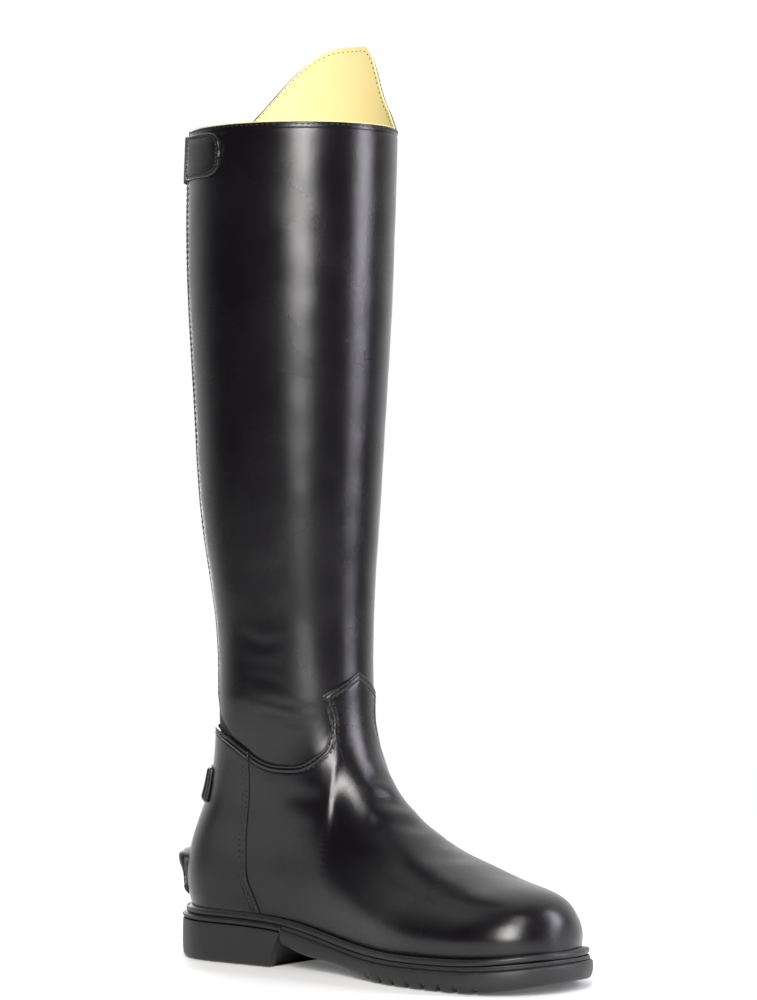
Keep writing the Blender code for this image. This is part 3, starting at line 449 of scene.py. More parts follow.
def ridge_z(x):
    """Height of the last's ridge over x, carried on steeply behind the shin."""
    steep_x = [SHIN_X - ANKLE_DEPTH, SHIN_X - ANKLE_DEPTH / 2]
    steep_z = [ANKLE_HEIGHT + 4 * ANKLE_DEPTH, ANKLE_HEIGHT + 1.9 * ANKLE_DEPTH]
    along = np.concatenate([steep_x, FRONT_X[::-1]])
    return np.interp(x, along, np.concatenate([steep_z, FRONT_Z[::-1]]))


def cross_width(x, z):
    """Half width and centre shift of the last at x and z.

    The foot's arch, outline * (1 - height**n) ** (1 / 2.1), turns into the leg's
    ellipse between a third of the ankle's height and the ankle.
    """
    rear = back_x(z)
    front = front_x(z)
    s = np.clip((x - rear) / (TOE_X - rear), 0, 1)
    width, shift = foot_outline(s)
    floor = feather_z(x)
    height = np.clip((z - floor) / np.maximum(ridge_z(x) - floor, 1e-4), 0, 1)
    bulge = 1 + 0.05 * np.sin(np.pi * np.clip(1.6 * height, 0, 1))
    square = 2.3 + 0.5 * ease(0.75, 0.95, s)
    foot = width * bulge * (1 - height**square) ** (1 / 2.1)
    t = np.clip((x - rear) / np.maximum(front - rear, 1e-4), 0, 1)
    widest = 0.33 + 0.17 * ease(0.40, 1.25, z / ANKLE_HEIGHT)
    e = np.where(t < widest, 1 - t / widest, (t - widest) / (1 - widest))
    half = np.where(z < ANKLE_HEIGHT, ANKLE_WIDTH * cup_width(z / ANKLE_HEIGHT), leg_at(z)[2]) / 2
    leg = half * np.sqrt(np.clip(1 - e**2, 0, 1))
    k = ease(0.37, 1.0, z / ANKLE_HEIGHT)
    return foot * (1 - k) + leg * k, shift * (1 - k)


def back_height(v):
    """Height of the back line at v."""
    return HEEL_HEIGHT + HEEL_RISE * np.clip(v, 0, 1)**1.25 + np.maximum(v - 1, 0) * LEG_HEIGHT


def last_surface(u, v):
    """Points of the last at shares u round and v up."""
    u, v = np.broadcast_arrays(np.asarray(u, float), np.asarray(v, float))
    u = u % 1.0
    side = np.where(u < 0.5, -1.0, 1.0)
    s = (1 - np.cos(2 * np.pi * u)) / 2
    low = np.clip(v, 0, 1)
    z_front = front_line_z(low) + np.maximum(v - 1, 0) * LEG_HEIGHT
    z_back = back_height(v)
    x_front = np.where(v < 1, front_line_x(low), front_x(z_front))
    x_back = back_x(z_back)
    x = x_back + (x_front - x_back) * s
    straight = feather_z(x_back) + (feather_z(x_front) - feather_z(x_back)) * s
    z = z_back + (z_front - z_back) * s + (feather_z(x) - straight) * (1 - ease(0, 0.75, low))
    width, shift = cross_width(x, z)
    return np.stack([x, side * width + shift, z], -1)


def normals(u, v):
    """Unit normals of the last, pointing out, and level at the feather line."""
    e = 0.0015
    round_way = last_surface(u + e, v) - last_surface(u - e, v)
    up_way = last_surface(u, v + e) - last_surface(u, np.maximum(v - e, 0))
    n = np.cross(round_way, up_way)
    n[..., 2] *= ease(0, 0.10, np.broadcast_to(v, n.shape[:-1]))
    return n / np.linalg.norm(n, axis=-1, keepdims=True)


def leather(u, v, lift):
    """The last's point at (u, v), moved out by the lift."""
    u, v, lift = np.broadcast_arrays(np.asarray(u, float), np.asarray(v, float), np.asarray(lift, float))
    return last_surface(u, v) + lift[..., None] * normals(u, v)


def v_at(z):
    """v of a height on the back line."""
    low = np.clip((z - HEEL_HEIGHT) / HEEL_RISE, 0, 1) ** 0.8
    return low + np.maximum(z - ANKLE_HEIGHT, 0) / LEG_HEIGHT


def u_at(y, v):
    """u of the last's point at distance y from the middle plane near the back, at v."""
    v = np.asarray(v, float)
    near = np.linspace(0, 0.22, 89)
    y = np.broadcast_to(y, v.shape)
    found = [np.interp(a, -last_surface(near, b)[:, 1], near) for a, b in zip(y.ravel(), v.ravel())]
    return np.array(found).reshape(v.shape)


def side_share(u):
    """Share from the centre back to the toe, 0 to 0.5, on either side."""
    return np.abs((np.asarray(u, float) + 0.5) % 1.0 - 0.5)


def top_seam(u):
    """v of the foot's top seam at u, the same on both sides."""
    u = side_share(u)
    corner_u, corner_v = TOP_SEAM[-1]
    tab = corner_v + (SEAM_PEAK_SHARE - corner_v) * (u - corner_u) / (0.5 - corner_u)
    return np.where(u < corner_u, seam_height(u), tab)


def tuck_line(u):
    """v of the leg's hidden lower edge at u."""
    return tuck_height(side_share(u))


def collar_v(u):
    """v of the collar, with the peak on the outer side."""
    return 2 + np.clip(peak_share(np.asarray(u, float) % 1.0), 0, None) * PEAK_RISE / LEG_HEIGHT


print("middle of the toe and of the shin at the ankle, m:", last_surface(0.5, [0.0, 1.0]).round(3).tolist())

# %% [markdown]
# Every new piece is a grid of points made into quads. A leather wall is two such grids,
# its face and its back, joined round the rim wherever the grid ends, so that the piece
# is closed and has a thickness at its cut edges, as real leather has.

# %% Grids into closed pieces
def add_object(name, data):
    """An object for the data, linked to the scene, at the origin."""
    thing = bpy.data.objects.new(name, data)
    bpy.context.scene.collection.objects.link(thing)
    return thing


def grid_quads(rows, columns, wrap=False):
    """Corner numbers of the quads of a grid; wrap joins the last column to the first."""
    number = np.arange(rows * columns).reshape(rows, columns)
    if wrap:
        number = np.concatenate([number, number[:, :1]], axis=1)
    return np.stack([number[:-1, :-1], number[:-1, 1:], number[1:, 1:], number[1:, :-1]], axis=-1)


def add_piece(name, points, faces, looks, body="boot", face_look=None, angle=50):
    """A piece from points (n, 3) and equal-sized faces (m, k), riding on its body."""
    mesh = bpy.data.meshes.new(name)
    mesh.vertices.add(len(points))
    mesh.vertices.foreach_set("co", np.ascontiguousarray(points, dtype=np.float32).ravel())
    mesh.loops.add(faces.size)
    mesh.loops.foreach_set("vertex_index", np.ascontiguousarray(faces, dtype=np.int32).ravel())
    mesh.polygons.add(len(faces))
    mesh.polygons.foreach_set("loop_start", np.arange(0, faces.size, faces.shape[1], dtype=np.int32))
    if face_look is not None:
        mesh.polygons.foreach_set("material_index", np.ascontiguousarray(face_look, dtype=np.int32))
    mesh.update(calc_edges=True)
    work = bmesh.new()
    work.from_mesh(mesh)
    bmesh.ops.remove_doubles(work, verts=work.verts, dist=2e-6)
    bmesh.ops.recalc_face_normals(work, faces=work.faces)
    work.to_mesh(mesh)
    work.free()
    for look in looks:
        mesh.materials.append(look)
    mesh.shade_smooth()
    mesh.set_sharp_from_angle(angle=math.radians(angle))
    piece = add_object(name, mesh)
    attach(piece, body)
    triangles = sum(len(p.vertices) - 2 for p in mesh.polygons)
    print(f"{name}: {len(mesh.vertices)} points, {triangles} triangles")
    return piece


def wall(name, face, back, looks, wrap=False, keep=None, body="boot", angle=50, lined=None):
    """A closed wall between a face and a back, both grids [row][column][xyz].

    keep marks the quads that stay. Each edge of the grid that only one quad uses gets
    a strip from the face to the back. A second material is used for the back, up to
    the row named by lined.
    """
    rows, columns = face.shape[:2]
    count = rows * columns
    front = grid_quads(rows, columns, wrap)
    front = front[keep] if keep is not None else front.reshape(-1, 4)
    edges = np.stack([front, np.roll(front, -1, axis=1)], axis=-1).reshape(-1, 2)
    there = edges[:, 0].astype(np.int64) * count + edges[:, 1]
    home = edges[:, 1].astype(np.int64) * count + edges[:, 0]
    rim = edges[~np.isin(there, home)]
    sides = np.stack([rim[:, 1], rim[:, 0], rim[:, 0] + count, rim[:, 1] + count], axis=-1)
    faces = np.concatenate([front, front[:, ::-1] + count, sides])
    second = np.zeros(len(faces), int)
    if len(looks) > 1:
        second[len(front):2 * len(front)] = front[:, 0] // columns < (rows if lined is None else lined)
    points = np.concatenate([face.reshape(-1, 3), back.reshape(-1, 3)])
    return add_piece(name, points, faces, looks, body, second, angle)


# %% [markdown]
# Polished calf is nearly black and shows itself in its reflections, so its roughness and
# its bump matter more than its colour. The grain is one node group, used by each leather
# with its own sizes: fine pores, and slow swells from lasting and wear that break up the
# long highlights. Scales are in parts to the metre, on Object coordinates.

# %% Node groups for grain and ribs
def add_node(tree, kind, values=None):
    """A shader node of a kind, with the values of some of its inputs."""
    node = tree.nodes.new("ShaderNode" + kind)
    for label, value in (values or {}).items():
        node.inputs[label].default_value = value
    return node


def new_group(name, inputs, outputs):
    """A node group with float inputs and outputs, and the nodes for its two ends."""
    group = bpy.data.node_groups.new(name, "ShaderNodeTree")
    for label, value in inputs:
        socket = group.interface.new_socket(label, in_out="INPUT", socket_type="NodeSocketFloat")
        socket.default_value = value
    for label in outputs:
        group.interface.new_socket(label, in_out="OUTPUT", socket_type="NodeSocketFloat")
    return group, group.nodes.new("NodeGroupInput"), group.nodes.new("NodeGroupOutput")


def math_node(group, operation, *values):
    """Result of a math node on sockets or plain numbers."""
    node = add_node(group, "Math")
    node.operation = operation
    for socket, value in zip(node.inputs, values):
        if isinstance(value, (int, float)):
            socket.default_value = value
        else:
            group.links.new(value, socket)
    return node.outputs[0]


def make_grain():
    """Height = pores (cell distance) + fine noise; Worn = slow patches from 0 to 1."""
    group, inside, outside = new_group("leather grain", [("Pore scale", 2200.0), ("Patch scale", 28.0)],
                                       ["Height", "Worn"])
    place = add_node(group, "TexCoord").outputs["Object"]
    cells = add_node(group, "TexVoronoi")
    fine = add_node(group, "TexNoise", {"Detail": 3.0})
    slow = add_node(group, "TexNoise", {"Detail": 4.0})
    for node, label in ((cells, "Pore scale"), (fine, "Pore scale"), (slow, "Patch scale")):
        group.links.new(place, node.inputs["Vector"])
        group.links.new(inside.outputs[label], node.inputs["Scale"])
    pores = math_node(group, "MULTIPLY", cells.outputs["Distance"], 0.55)
    height = math_node(group, "ADD", pores, fine.outputs["Fac"])
    group.links.new(height, outside.inputs["Height"])
    group.links.new(slow.outputs["Fac"], outside.inputs["Worn"])
    return group


def make_ribs():
    """Height = level ribs up the leg with a weave across them."""
    group, inside, outside = new_group("woven ribs", [("Ribs", 4400.0), ("Threads", 5200.0)], ["Height"])
    split = add_node(group, "SeparateXYZ")
    group.links.new(add_node(group, "TexCoord").outputs["Object"], split.inputs[0])
    up = math_node(group, "MULTIPLY", split.outputs["Z"], inside.outputs["Ribs"])
    across = math_node(group, "ADD", split.outputs["X"], split.outputs["Y"])
    across = math_node(group, "MULTIPLY", across, inside.outputs["Threads"])
    waves = math_node(group, "ADD", math_node(group, "SINE", up), math_node(group, "SINE", across))
    group.links.new(waves, outside.inputs["Height"])
    return group


GRAIN = make_grain()
RIBS = make_ribs()
print("node groups:", GRAIN.name, RIBS.name)

# %% [markdown]
# Each finish is a Principled BSDF. Where grain or weave changes over the surface, the
# group feeds Roughness, Base Color and a Bump node; what is the same everywhere is set
# on the shader itself.

# %% Finishes
def finish(name, colour, worn_colour, rough, worn_rough, bump, group=GRAIN, settings=None,
           coat=0.0, metallic=0.0, distance=0.0004):
    """A finish that runs from (colour, rough) to (worn colour, worn rough) over the patches."""
    look = bpy.data.materials.new(name)
    look.use_nodes = True
    tree = look.node_tree
    shader = tree.nodes["Principled BSDF"]
    shader.inputs["Metallic"].default_value = metallic
    shader.inputs["Coat Weight"].default_value = coat
    shader.inputs["Coat Roughness"].default_value = 0.18
    worn = add_node(tree, "Group")
    worn.node_tree = GRAIN
    relief = worn
    if group is not GRAIN:
        relief = add_node(tree, "Group")
        relief.node_tree = group
    for label, value in (settings or {}).items():
        for node in {worn, relief}:
            if label in node.inputs:
                node.inputs[label].default_value = value
    mix = add_node(tree, "Mix")
    mix.data_type = "RGBA"
    mix.inputs["A"].default_value = (*colour, 1.0)
    mix.inputs["B"].default_value = (*worn_colour, 1.0)
    spread = add_node(tree, "MapRange", {"From Min": 0.35, "From Max": 0.65,
                                         "To Min": rough, "To Max": worn_rough})
    tree.links.new(worn.outputs["Worn"], mix.inputs["Factor"])
    tree.links.new(mix.outputs["Result"], shader.inputs["Base Color"])
    tree.links.new(worn.outputs["Worn"], spread.inputs["Value"])
    tree.links.new(spread.outputs["Result"], shader.inputs["Roughness"])
    swell = add_node(tree, "Bump", {"Strength": bump, "Distance": distance})
    tree.links.new(relief.outputs["Height"], swell.inputs["Height"])
    tree.links.new(swell.outputs["Normal"], shader.inputs["Normal"])
    return look


CALF = finish("black calf", (0.0030, 0.0026, 0.0034), (0.0048, 0.0040, 0.0050), 0.23, 0.29, 0.16)
TRIM = finish("black trim leather", (0.0045, 0.0040, 0.0045), (0.008, 0.007, 0.008), 0.32, 0.42, 0.35,
              settings={"Pore scale": 1500.0})
THREAD = finish("black thread", (0.006, 0.006, 0.006), (0.014, 0.013, 0.014), 0.42, 0.55, 0.5,
                settings={"Pore scale": 6000.0})
RUBBER = finish("black rubber", (0.0075, 0.0075, 0.008), (0.013, 0.012, 0.012), 0.46, 0.58, 0.25,
                settings={"Pore scale": 1800.0})
WELT_LOOK = finish("black welt", (0.006, 0.0055, 0.006), (0.011, 0.010, 0.0105), 0.36, 0.46, 0.25,
                   settings={"Pore scale": 1700.0})
ELASTIC = finish("black elastic", (0.008, 0.008, 0.009), (0.013, 0.013, 0.014), 0.75, 0.9, 0.55,
                 group=RIBS, distance=0.0002)
TAPE = finish("black zip tape", (0.009, 0.009, 0.010), (0.015, 0.015, 0.016), 0.7, 0.85, 0.5,
              group=RIBS, settings={"Ribs": 9000.0, "Threads": 9000.0}, distance=0.0001)
COIL = finish("black coil", (0.012, 0.012, 0.013), (0.018, 0.018, 0.019), 0.35, 0.45, 0.2)
ENAMEL = finish("black enamel", (0.006, 0.006, 0.007), (0.009, 0.009, 0.010), 0.14, 0.22, 0.04,
                coat=0.6)
STEEL = finish("grey brushed metal", (0.11, 0.11, 0.115), (0.16, 0.16, 0.165), 0.34, 0.46, 0.08,
               metallic=1.0, settings={"Pore scale": 900.0})
LINING = finish("pale yellow lining", (0.80, 0.66, 0.29), (0.86, 0.73, 0.35), 0.52, 0.62, 0.12,
                settings={"Pore scale": 1600.0})
EDGE = finish("dyed cut edge", (0.020, 0.018, 0.019), (0.030, 0.027, 0.028), 0.50, 0.62, 0.3,
              settings={"Pore scale": 2600.0})
print("finishes:", len(bpy.data.materials))

# %% [markdown]
# A stitch is a short length of waxed thread that dives into the leather at both ends.
# One small capsule is worked out once, and copied along each row at an even pitch, with
# its long side along the row and its round back a little over the leather.

# %% Stitches along a row
def capsule():
    """Capsule of unit length and width: rings of six points with round ends."""
    turn = np.arange(6) * math.pi / 3
    rings = ((-0.5, 0.30), (-0.32, 0.95), (0.0, 1.0), (0.32, 0.95), (0.5, 0.30))
    points = [(s, w * math.cos(a) / 2, w * math.sin(a) / 2) for s, w in rings for a in turn]
    faces = grid_quads(5, 6, wrap=True).reshape(-1, 4).tolist()
    faces += [[0, 1, 2, 3], [0, 3, 4, 5], [24, 25, 26, 27], [24, 27, 28, 29]]
    return np.array(points), np.array(faces)


CAPSULE_POINTS, CAPSULE_FACES = capsule()


def capsules(middle, along, out, long, wide, tall):
    """Capsules at points (n, 3), lying along one direction and tall towards another."""
    along = along / (np.linalg.norm(along, axis=1, keepdims=True) + 1e-12)
    up = out - (out * along).sum(1, keepdims=True) * along
    up /= np.linalg.norm(up, axis=1, keepdims=True)
    side = np.cross(up, along)
    shape = CAPSULE_POINTS[None]
    return (middle[:, None, :] + long * shape[..., :1] * along[:, None, :]
            + wide * shape[..., 1:2] * side[:, None, :] + tall * shape[..., 2:3] * up[:, None, :])


def stitches(path, out, pitch=0.003, long=0.0021, wide=0.0007, tall=0.0007):
    """Stitches on a path (n, 3) with outward normals (n, 3), as points (k, 30, 3)."""
    run = np.concatenate([[0], np.cumsum(np.linalg.norm(np.diff(path, axis=0), axis=1))])
    count = max(1, int(run[-1] / pitch))
    middle = (np.arange(count) + 0.5) * run[-1] / count

    def read(values, s):
        return np.stack([np.interp(s, run, values[:, i]) for i in range(3)], axis=-1)

    along = read(path, middle + long / 2) - read(path, middle - long / 2)
    return capsules(read(path, middle), along, read(out, middle), long, wide, tall)


def capsule_piece(name, points, look, body="boot"):
    """One piece from capsules, given as points (n, 30, 3)."""
    faces = CAPSULE_FACES[None] + len(CAPSULE_POINTS) * np.arange(len(points))[:, None, None]
    return add_piece(name, points.reshape(-1, 3), faces.reshape(-1, 4), [look], body)


def sew(name, rows, body="boot"):
    """One piece from several rows of stitches."""
    points = np.concatenate(rows)
    print(name, "has", len(points), "stitches")
    return capsule_piece(name, points, THREAD, body)


def row_on_last(u, v, lift, **sizes):
    """A row of stitches along shares (u, v) at a lift over the last."""
    return stitches(leather(u, v, lift), normals(np.asarray(u), np.asarray(v)), **sizes)

# %% [markdown]
# The foot's upper is a vamp with a pointed tab on the shin, and a counter sewn over it
# at each side. Its grid has extra rows close under the top seam and extra columns at the
# counter's edge, so that the cut edges, the stitch grooves and the cord between two
# rows are real relief. The tab's corner hooks back, as the pattern piece does.

# %% Shares of the foot's grid
CORNER_T = 0.4239                # column share at the tab's corner
# Top seam: column share, u, v
SEAM_LINE = np.array([
    (0.000, 0.000, 0.885),
    (0.103, 0.120, 0.888),
    (0.142, 0.165, 0.877),
    (0.185, 0.212, 0.846),
    (0.215, 0.245, 0.812),
    (0.264, 0.289, 0.802),
    (0.312, 0.332, 0.817),
    (0.357, 0.372, 0.852),
    (0.397, 0.409, 0.902),
    (0.413, 0.420, 0.957),
    (0.4239, 0.408, 1.008),
])
# Grid lines beside the counter's front edge and under the top seam, as distances
COUNTER_DISTANCES = np.array([8, 6.4, 5.6, 5.2, 4.8, 4.4, 4, 3.4, 2.8, 2.4, 2, 1.4, 0.8, 0.3, 0.06]) / 1000
VAMP_DISTANCES = np.array([0.02, 0.5, 1.4, 3.0]) / 1000
TOP_DISTANCES = np.array([0, 0.2, 0.6, 1.0, 1.25, 1.5, 1.75, 2.1, 2.6, 3.2, 3.6, 4.0, 4.4, 5.0, 6.2,
                          7.6]) / 1000
# Rows of stitches, as distances from the cut edge
COUNTER_ROWS = (0.0024, 0.0048)
SEAM_ROWS = (0.0015, 0.0040)
SEAM_CORD = 0.00275              # the cord between them
SEAM_STITCH = dict(pitch=0.0031, long=0.0021, wide=0.0008, tall=0.0008)
BACK_COLUMNS = 36                # from the centre back to the close lines at the counter's edge
SLOT_COLUMNS = 7                 # of them over the zip's slot
SLOT_ROW = 39                    # the row at its lower end
UNLINED_ROWS = 24                # of the back, under the top seam, where the leg covers the lining
seam_line_u = table_curve(SEAM_LINE)
seam_line_v = table_curve(SEAM_LINE, 2)


def foot_shares(t, r):
    """u and v at column share t (0 to 0.5) and share r up the foot, on the inner side."""
    t, r = np.broadcast_arrays(np.asarray(t, float), np.asarray(r, float))
    tent = np.minimum(t / COUNTER_SHARE, (0.5 - t) / (0.5 - COUNTER_SHARE))
    plain = t + tent * (counter_lean(r) - COUNTER_SHARE)
    plain_top = t + tent * (COUNTER_EDGE[-1, 1] - COUNTER_SHARE)
    past = np.clip((t - CORNER_T) / (0.5 - CORNER_T), 0, 1)
    corner_u, corner_v = SEAM_LINE[-1, 1:]
    edge_u = np.where(t < CORNER_T, seam_line_u(t), corner_u + (0.5 - corner_u) * past)
    edge_v = np.where(t < CORNER_T, seam_line_v(t), corner_v + (SEAM_PEAK_SHARE - corner_v) * past)
    pull = np.clip((r - 0.80) / 0.20, 0, 1) ** 1.6
    return plain + (edge_u - plain_top) * pull, r * edge_v


def top_reach(t):
    """Metres per unit of r at the top seam, measured square to the seam."""
    t = np.clip(t, 0.002, 0.498)
    edge = last_surface(*foot_shares(t, 1.0))
    down = edge - last_surface(*foot_shares(t, 0.985))
    along = last_surface(*foot_shares(t + 0.0015, 1.0)) - last_surface(*foot_shares(t - 0.0015, 1.0))
    along /= np.linalg.norm(along, axis=-1, keepdims=True)
    square = down - (down * along).sum(-1, keepdims=True) * along
    return np.clip(np.linalg.norm(square, axis=-1) / 0.015, 0.12, 0.30)


def counter_reach(r):
    """Metres per unit of t at the counter's front edge."""
    a = last_surface(*foot_shares(COUNTER_SHARE - 0.01, r))
    b = last_surface(*foot_shares(COUNTER_SHARE, r))
    return np.linalg.norm(b - a, axis=-1) / 0.01


def distance_from(points, path):
    """Distance of each point (…, 3) from the nearest point of a path (n, 3)."""
    flat = points.reshape(-1, 3)
    near = [np.min(np.linalg.norm(part[:, None] - path[None], axis=-1), axis=1)
            for part in np.array_split(flat, max(1, len(flat) // 2000))]
    return np.concatenate(near).reshape(points.shape[:-1])


SEAM_T = np.concatenate([np.linspace(0, CORNER_T, 520), np.linspace(CORNER_T, 0.5, 150)[1:]])
seam_u, seam_v = foot_shares(SEAM_T, 1.0)
seam_path = last_surface(seam_u, seam_v)
seam_length = np.linalg.norm(np.diff(seam_path, axis=0), axis=1).sum()
print("top seam on one side, mm:", round(1000 * float(seam_length)))

# %% [markdown]
# Where the foot bends, the leather keeps soft creases. Each is a line on the vamp with a
# width and a depth: a trough (or, with a minus sign, a ridge) that fades at its ends.

# %% Creases of the vamp and the ankle
CREASES = [
    # points as (u, v), depth in mm, width in mm
    (((0.440, 0.735), (0.470, 0.715), (0.500, 0.700), (0.540, 0.705), (0.580, 0.72)), 0.9, 5.0),
    (((0.400, 0.650), (0.445, 0.640), (0.490, 0.620), (0.540, 0.625), (0.60, 0.64)), 0.7, 5.5),
    (((0.350, 0.600), (0.400, 0.590), (0.440, 0.560)), 0.45, 5.0),
    (((0.455, 0.800), (0.500, 0.785), (0.550, 0.800)), 0.5, 4.5),
    (((0.270, 0.700), (0.310, 0.690), (0.350, 0.700)), 0.35, 5.0),
    (((0.650, 0.690), (0.690, 0.700), (0.730, 0.720)), 0.5, 4.5),
    (((0.640, 0.610), (0.690, 0.600), (0.740, 0.610)), 0.4, 5.0),
    (((0.430, 0.470), (0.490, 0.450), (0.560, 0.465)), 0.3, 6.0),
]
LEG_CREASES = [
    (((0.260, 1.000), (0.310, 0.992), (0.360, 0.978), (0.395, 0.972)), 0.22, 2.0),
    (((0.270, 0.962), (0.315, 0.957), (0.355, 0.948), (0.390, 0.946)), 0.20, 1.9),
    (((0.290, 0.980), (0.330, 0.974), (0.370, 0.962)), 0.12, 1.4),
    (((0.300, 0.940), (0.340, 0.932), (0.375, 0.926)), 0.14, 1.6),
    (((0.250, 1.040), (0.300, 1.032), (0.350, 1.022)), 0.14, 2.4),
    (((0.640, 0.990), (0.690, 1.000), (0.730, 1.010)), 0.45, 2.2),
    (((0.650, 1.050), (0.700, 1.060), (0.740, 1.060)), 0.35, 2.6),
    (((0.230, 1.110), (0.290, 1.095), (0.340, 1.100)), 0.25, 3.5),
    (((0.780, 1.080), (0.830, 1.060), (0.870, 1.050)), 0.35, 3.0),
]


RIDGE_SHARE = 0.45               # of the trough's depth
RIDGE_PLACE = 1.9                # in widths from the crease's line


def crease_relief(points, creases):
    """Lift in metres: minus depth * exp(-(distance / width)**2) from each crease's line.

    A ridge of the same width runs beside each trough, and both fade at the line's ends.
    """
    lift = np.zeros(points.shape[:-1])
    for line, depth, width in creases:
        line = np.array(line)
        share = np.linspace(0, 1, 24)
        knots = np.linspace(0, 1, len(line))
        u, v = np.interp(share, knots, line[:, 0]), np.interp(share, knots, line[:, 1])
        spine = last_surface(u, v)
        near = np.full(lift.shape, 1.0)
        where = np.zeros(lift.shape)
        for s, p in zip(share, spine):
            d = np.linalg.norm(points - p, axis=-1)
            where = np.where(d < near, s, where)
            near = np.minimum(near, d)
        fade = np.sin(math.pi * np.clip(where, 0.04, 0.96)) ** 0.7
        share_wide = near / (width / 1000)
        ridge = RIDGE_SHARE * np.exp(-(share_wide - RIDGE_PLACE) ** 2)
        lift -= depth / 1000 * fade * (np.exp(-share_wide ** 2) - ridge)
    return lift


def swells(points, height):
    """Slow waves of pulled leather: a sum of sines with fixed directions."""
    turn = np.random.default_rng(7)
    total = np.zeros(points.shape[:-1])
    for wave in (0.055, 0.036, 0.026, 0.019):
        for i in range(3):
            way = turn.normal(size=3)
            way *= 2 * math.pi / wave / np.linalg.norm(way)
            total += wave / 0.055 * np.sin(points @ way + turn.uniform(0, 2 * math.pi))
    return height * total / 3


def groove(distance, at, depth, width=0.00045):
    """Lift of a groove: minus depth * exp(-((distance - at) / width)**2)."""
    return -depth * np.exp(-((distance - at) / width) ** 2)


print(len(CREASES), "creases on the foot,", len(LEG_CREASES), "at the ankle")

# %% [markdown]
# The upper's skin is one grid round the foot. Its lift over the last holds the counter's
# step, the rounded cut edge, the stitch grooves, the cord and the creases.

# %% The foot's upper
def foot_grid():
    """Column shares, row shares and distances from the counter's edge, for half the foot."""
    slot = v_at(ZIP_LOW) / SEAM_LINE[0, 2]
    low = np.concatenate([np.linspace(0, slot, SLOT_ROW + 1), np.linspace(slot, 1, 70)[1:]])
    reach = counter_reach(np.clip(low, 0.02, 0.98))
    reach = np.concatenate([reach, np.full(len(TOP_DISTANCES) - 1, reach[-1])])[:, None]
    back_end = COUNTER_SHARE - COUNTER_DISTANCES[0] / reach
    front_start = COUNTER_SHARE + VAMP_DISTANCES[-1] / reach
    even_back = np.linspace(0, 1, BACK_COLUMNS + 1)[:-1]
    even_front = np.concatenate([np.linspace(0, 0.70, 46)[1:], np.linspace(0.70, 1, 35)[1:]])
    t = np.concatenate([back_end * even_back, COUNTER_SHARE - COUNTER_DISTANCES / reach,
                        COUNTER_SHARE + VAMP_DISTANCES / reach,
                        front_start + (0.5 - front_start) * even_front], axis=1)
    corner = np.abs(t - CORNER_T)
    t = np.where(corner == corner.min(axis=1, keepdims=True), CORNER_T, t)
    seam = top_reach(t)
    zone = TOP_DISTANCES[-1] / seam[:len(low)]
    plain = low[:, None] * (1 - zone * ease(0.55, 1.0, low[:, None]))
    top = 1 - TOP_DISTANCES[::-1][1:, None] / seam[len(low):]
    return t, np.concatenate([plain, top]), (COUNTER_SHARE - t) * reach


t, r, edge_distance = foot_grid()
u, v = foot_shares(t, r)
slot_u = u_at(ZIP_SLOT, v[:, 0])
for k in range(BACK_COLUMNS):
    past = (k - SLOT_COLUMNS) / (BACK_COLUMNS - SLOT_COLUMNS)
    u[:, k] = slot_u * k / SLOT_COLUMNS if past <= 0 else slot_u + (u[:, BACK_COLUMNS] - slot_u) * past

base = last_surface(u, v)
top_distance = np.full(t.shape, 1.0)
top_rows = np.nonzero(r.max(axis=1) > 0.88)[0]
top_distance[top_rows] = distance_from(base[top_rows], seam_path)
before = np.arange(t.shape[1]) < BACK_COLUMNS + len(COUNTER_DISTANCES)
step = np.clip(edge_distance / 0.0003, 0, 1) ** 0.5 * before
lift = VAMP_LIFT + (COUNTER_LIFT - VAMP_LIFT) * step + groove(top_distance, 0, 0.0006, 0.00025)
lift = lift + groove(top_distance, SEAM_ROWS[0], 0.00026) + groove(top_distance, SEAM_ROWS[1], 0.00022)
lift = lift - groove(top_distance, SEAM_CORD, 0.00028, 0.0006)
seam_free = before * ease(0.004, 0.007, top_distance)
for row in COUNTER_ROWS:
    lift = lift + seam_free * groove(edge_distance, row, 0.00020)


def both_sides(half, outer_half=None):
    """The other side's columns after the inner side's, toe first."""
    other = half if outer_half is None else outer_half
    return np.concatenate([half, other[:, -2:0:-1]], axis=1)


full_u = both_sides(u, 1 - u)
full_v = both_sides(v)
full_lift = both_sides(lift)
plain_points = last_surface(full_u, full_v)
calm = ease(0.0, 0.03, both_sides(r)) * ease(0.003, 0.012, both_sides(top_distance))
full_lift = full_lift + calm * (crease_relief(plain_points, CREASES) + swells(plain_points, 0.00016))
tucked = full_v - tuck_line(full_u)
back_lift = -FOOT_LINING + (FOOT_LINING + 0.6 * SEAM_GAP) * ease(-0.035, -0.004, tucked)
keep = np.ones((len(full_u) - 1, full_u.shape[1]), bool)
keep[SLOT_ROW:, :SLOT_COLUMNS] = False
keep[SLOT_ROW:, -SLOT_COLUMNS:] = False
face = plain_points + full_lift[..., None] * normals(full_u, full_v)
back = plain_points + back_lift[..., None] * normals(full_u, full_v)
upper_skin = wall("upper_skin", face, back, [CALF, LINING], wrap=True, keep=keep,
                  lined=len(face) - UNLINED_ROWS)
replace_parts(upper_skin, "upper")

# %% [markdown]
# Two rows of stitches hold the top seam and two hold the counter. They follow the same
# distances from the cut edges as the grooves in the skin.

# %% The foot's stitches
def metres_per_share(u_step, v_step):
    """Length on the last, along the top seam, of one unit of u or of v."""
    ahead = last_surface(seam_u + u_step, seam_v + v_step)
    behind = last_surface(seam_u - u_step, seam_v - v_step)
    return np.linalg.norm(ahead - behind, axis=1) / (2 * (u_step + v_step))


def mirrored_rows(u, v, lift):
    """The same row of stitches on both sides of the foot."""
    return [row_on_last(side_u, v, lift, **SEAM_STITCH) for side_u in (u, 1 - u)]


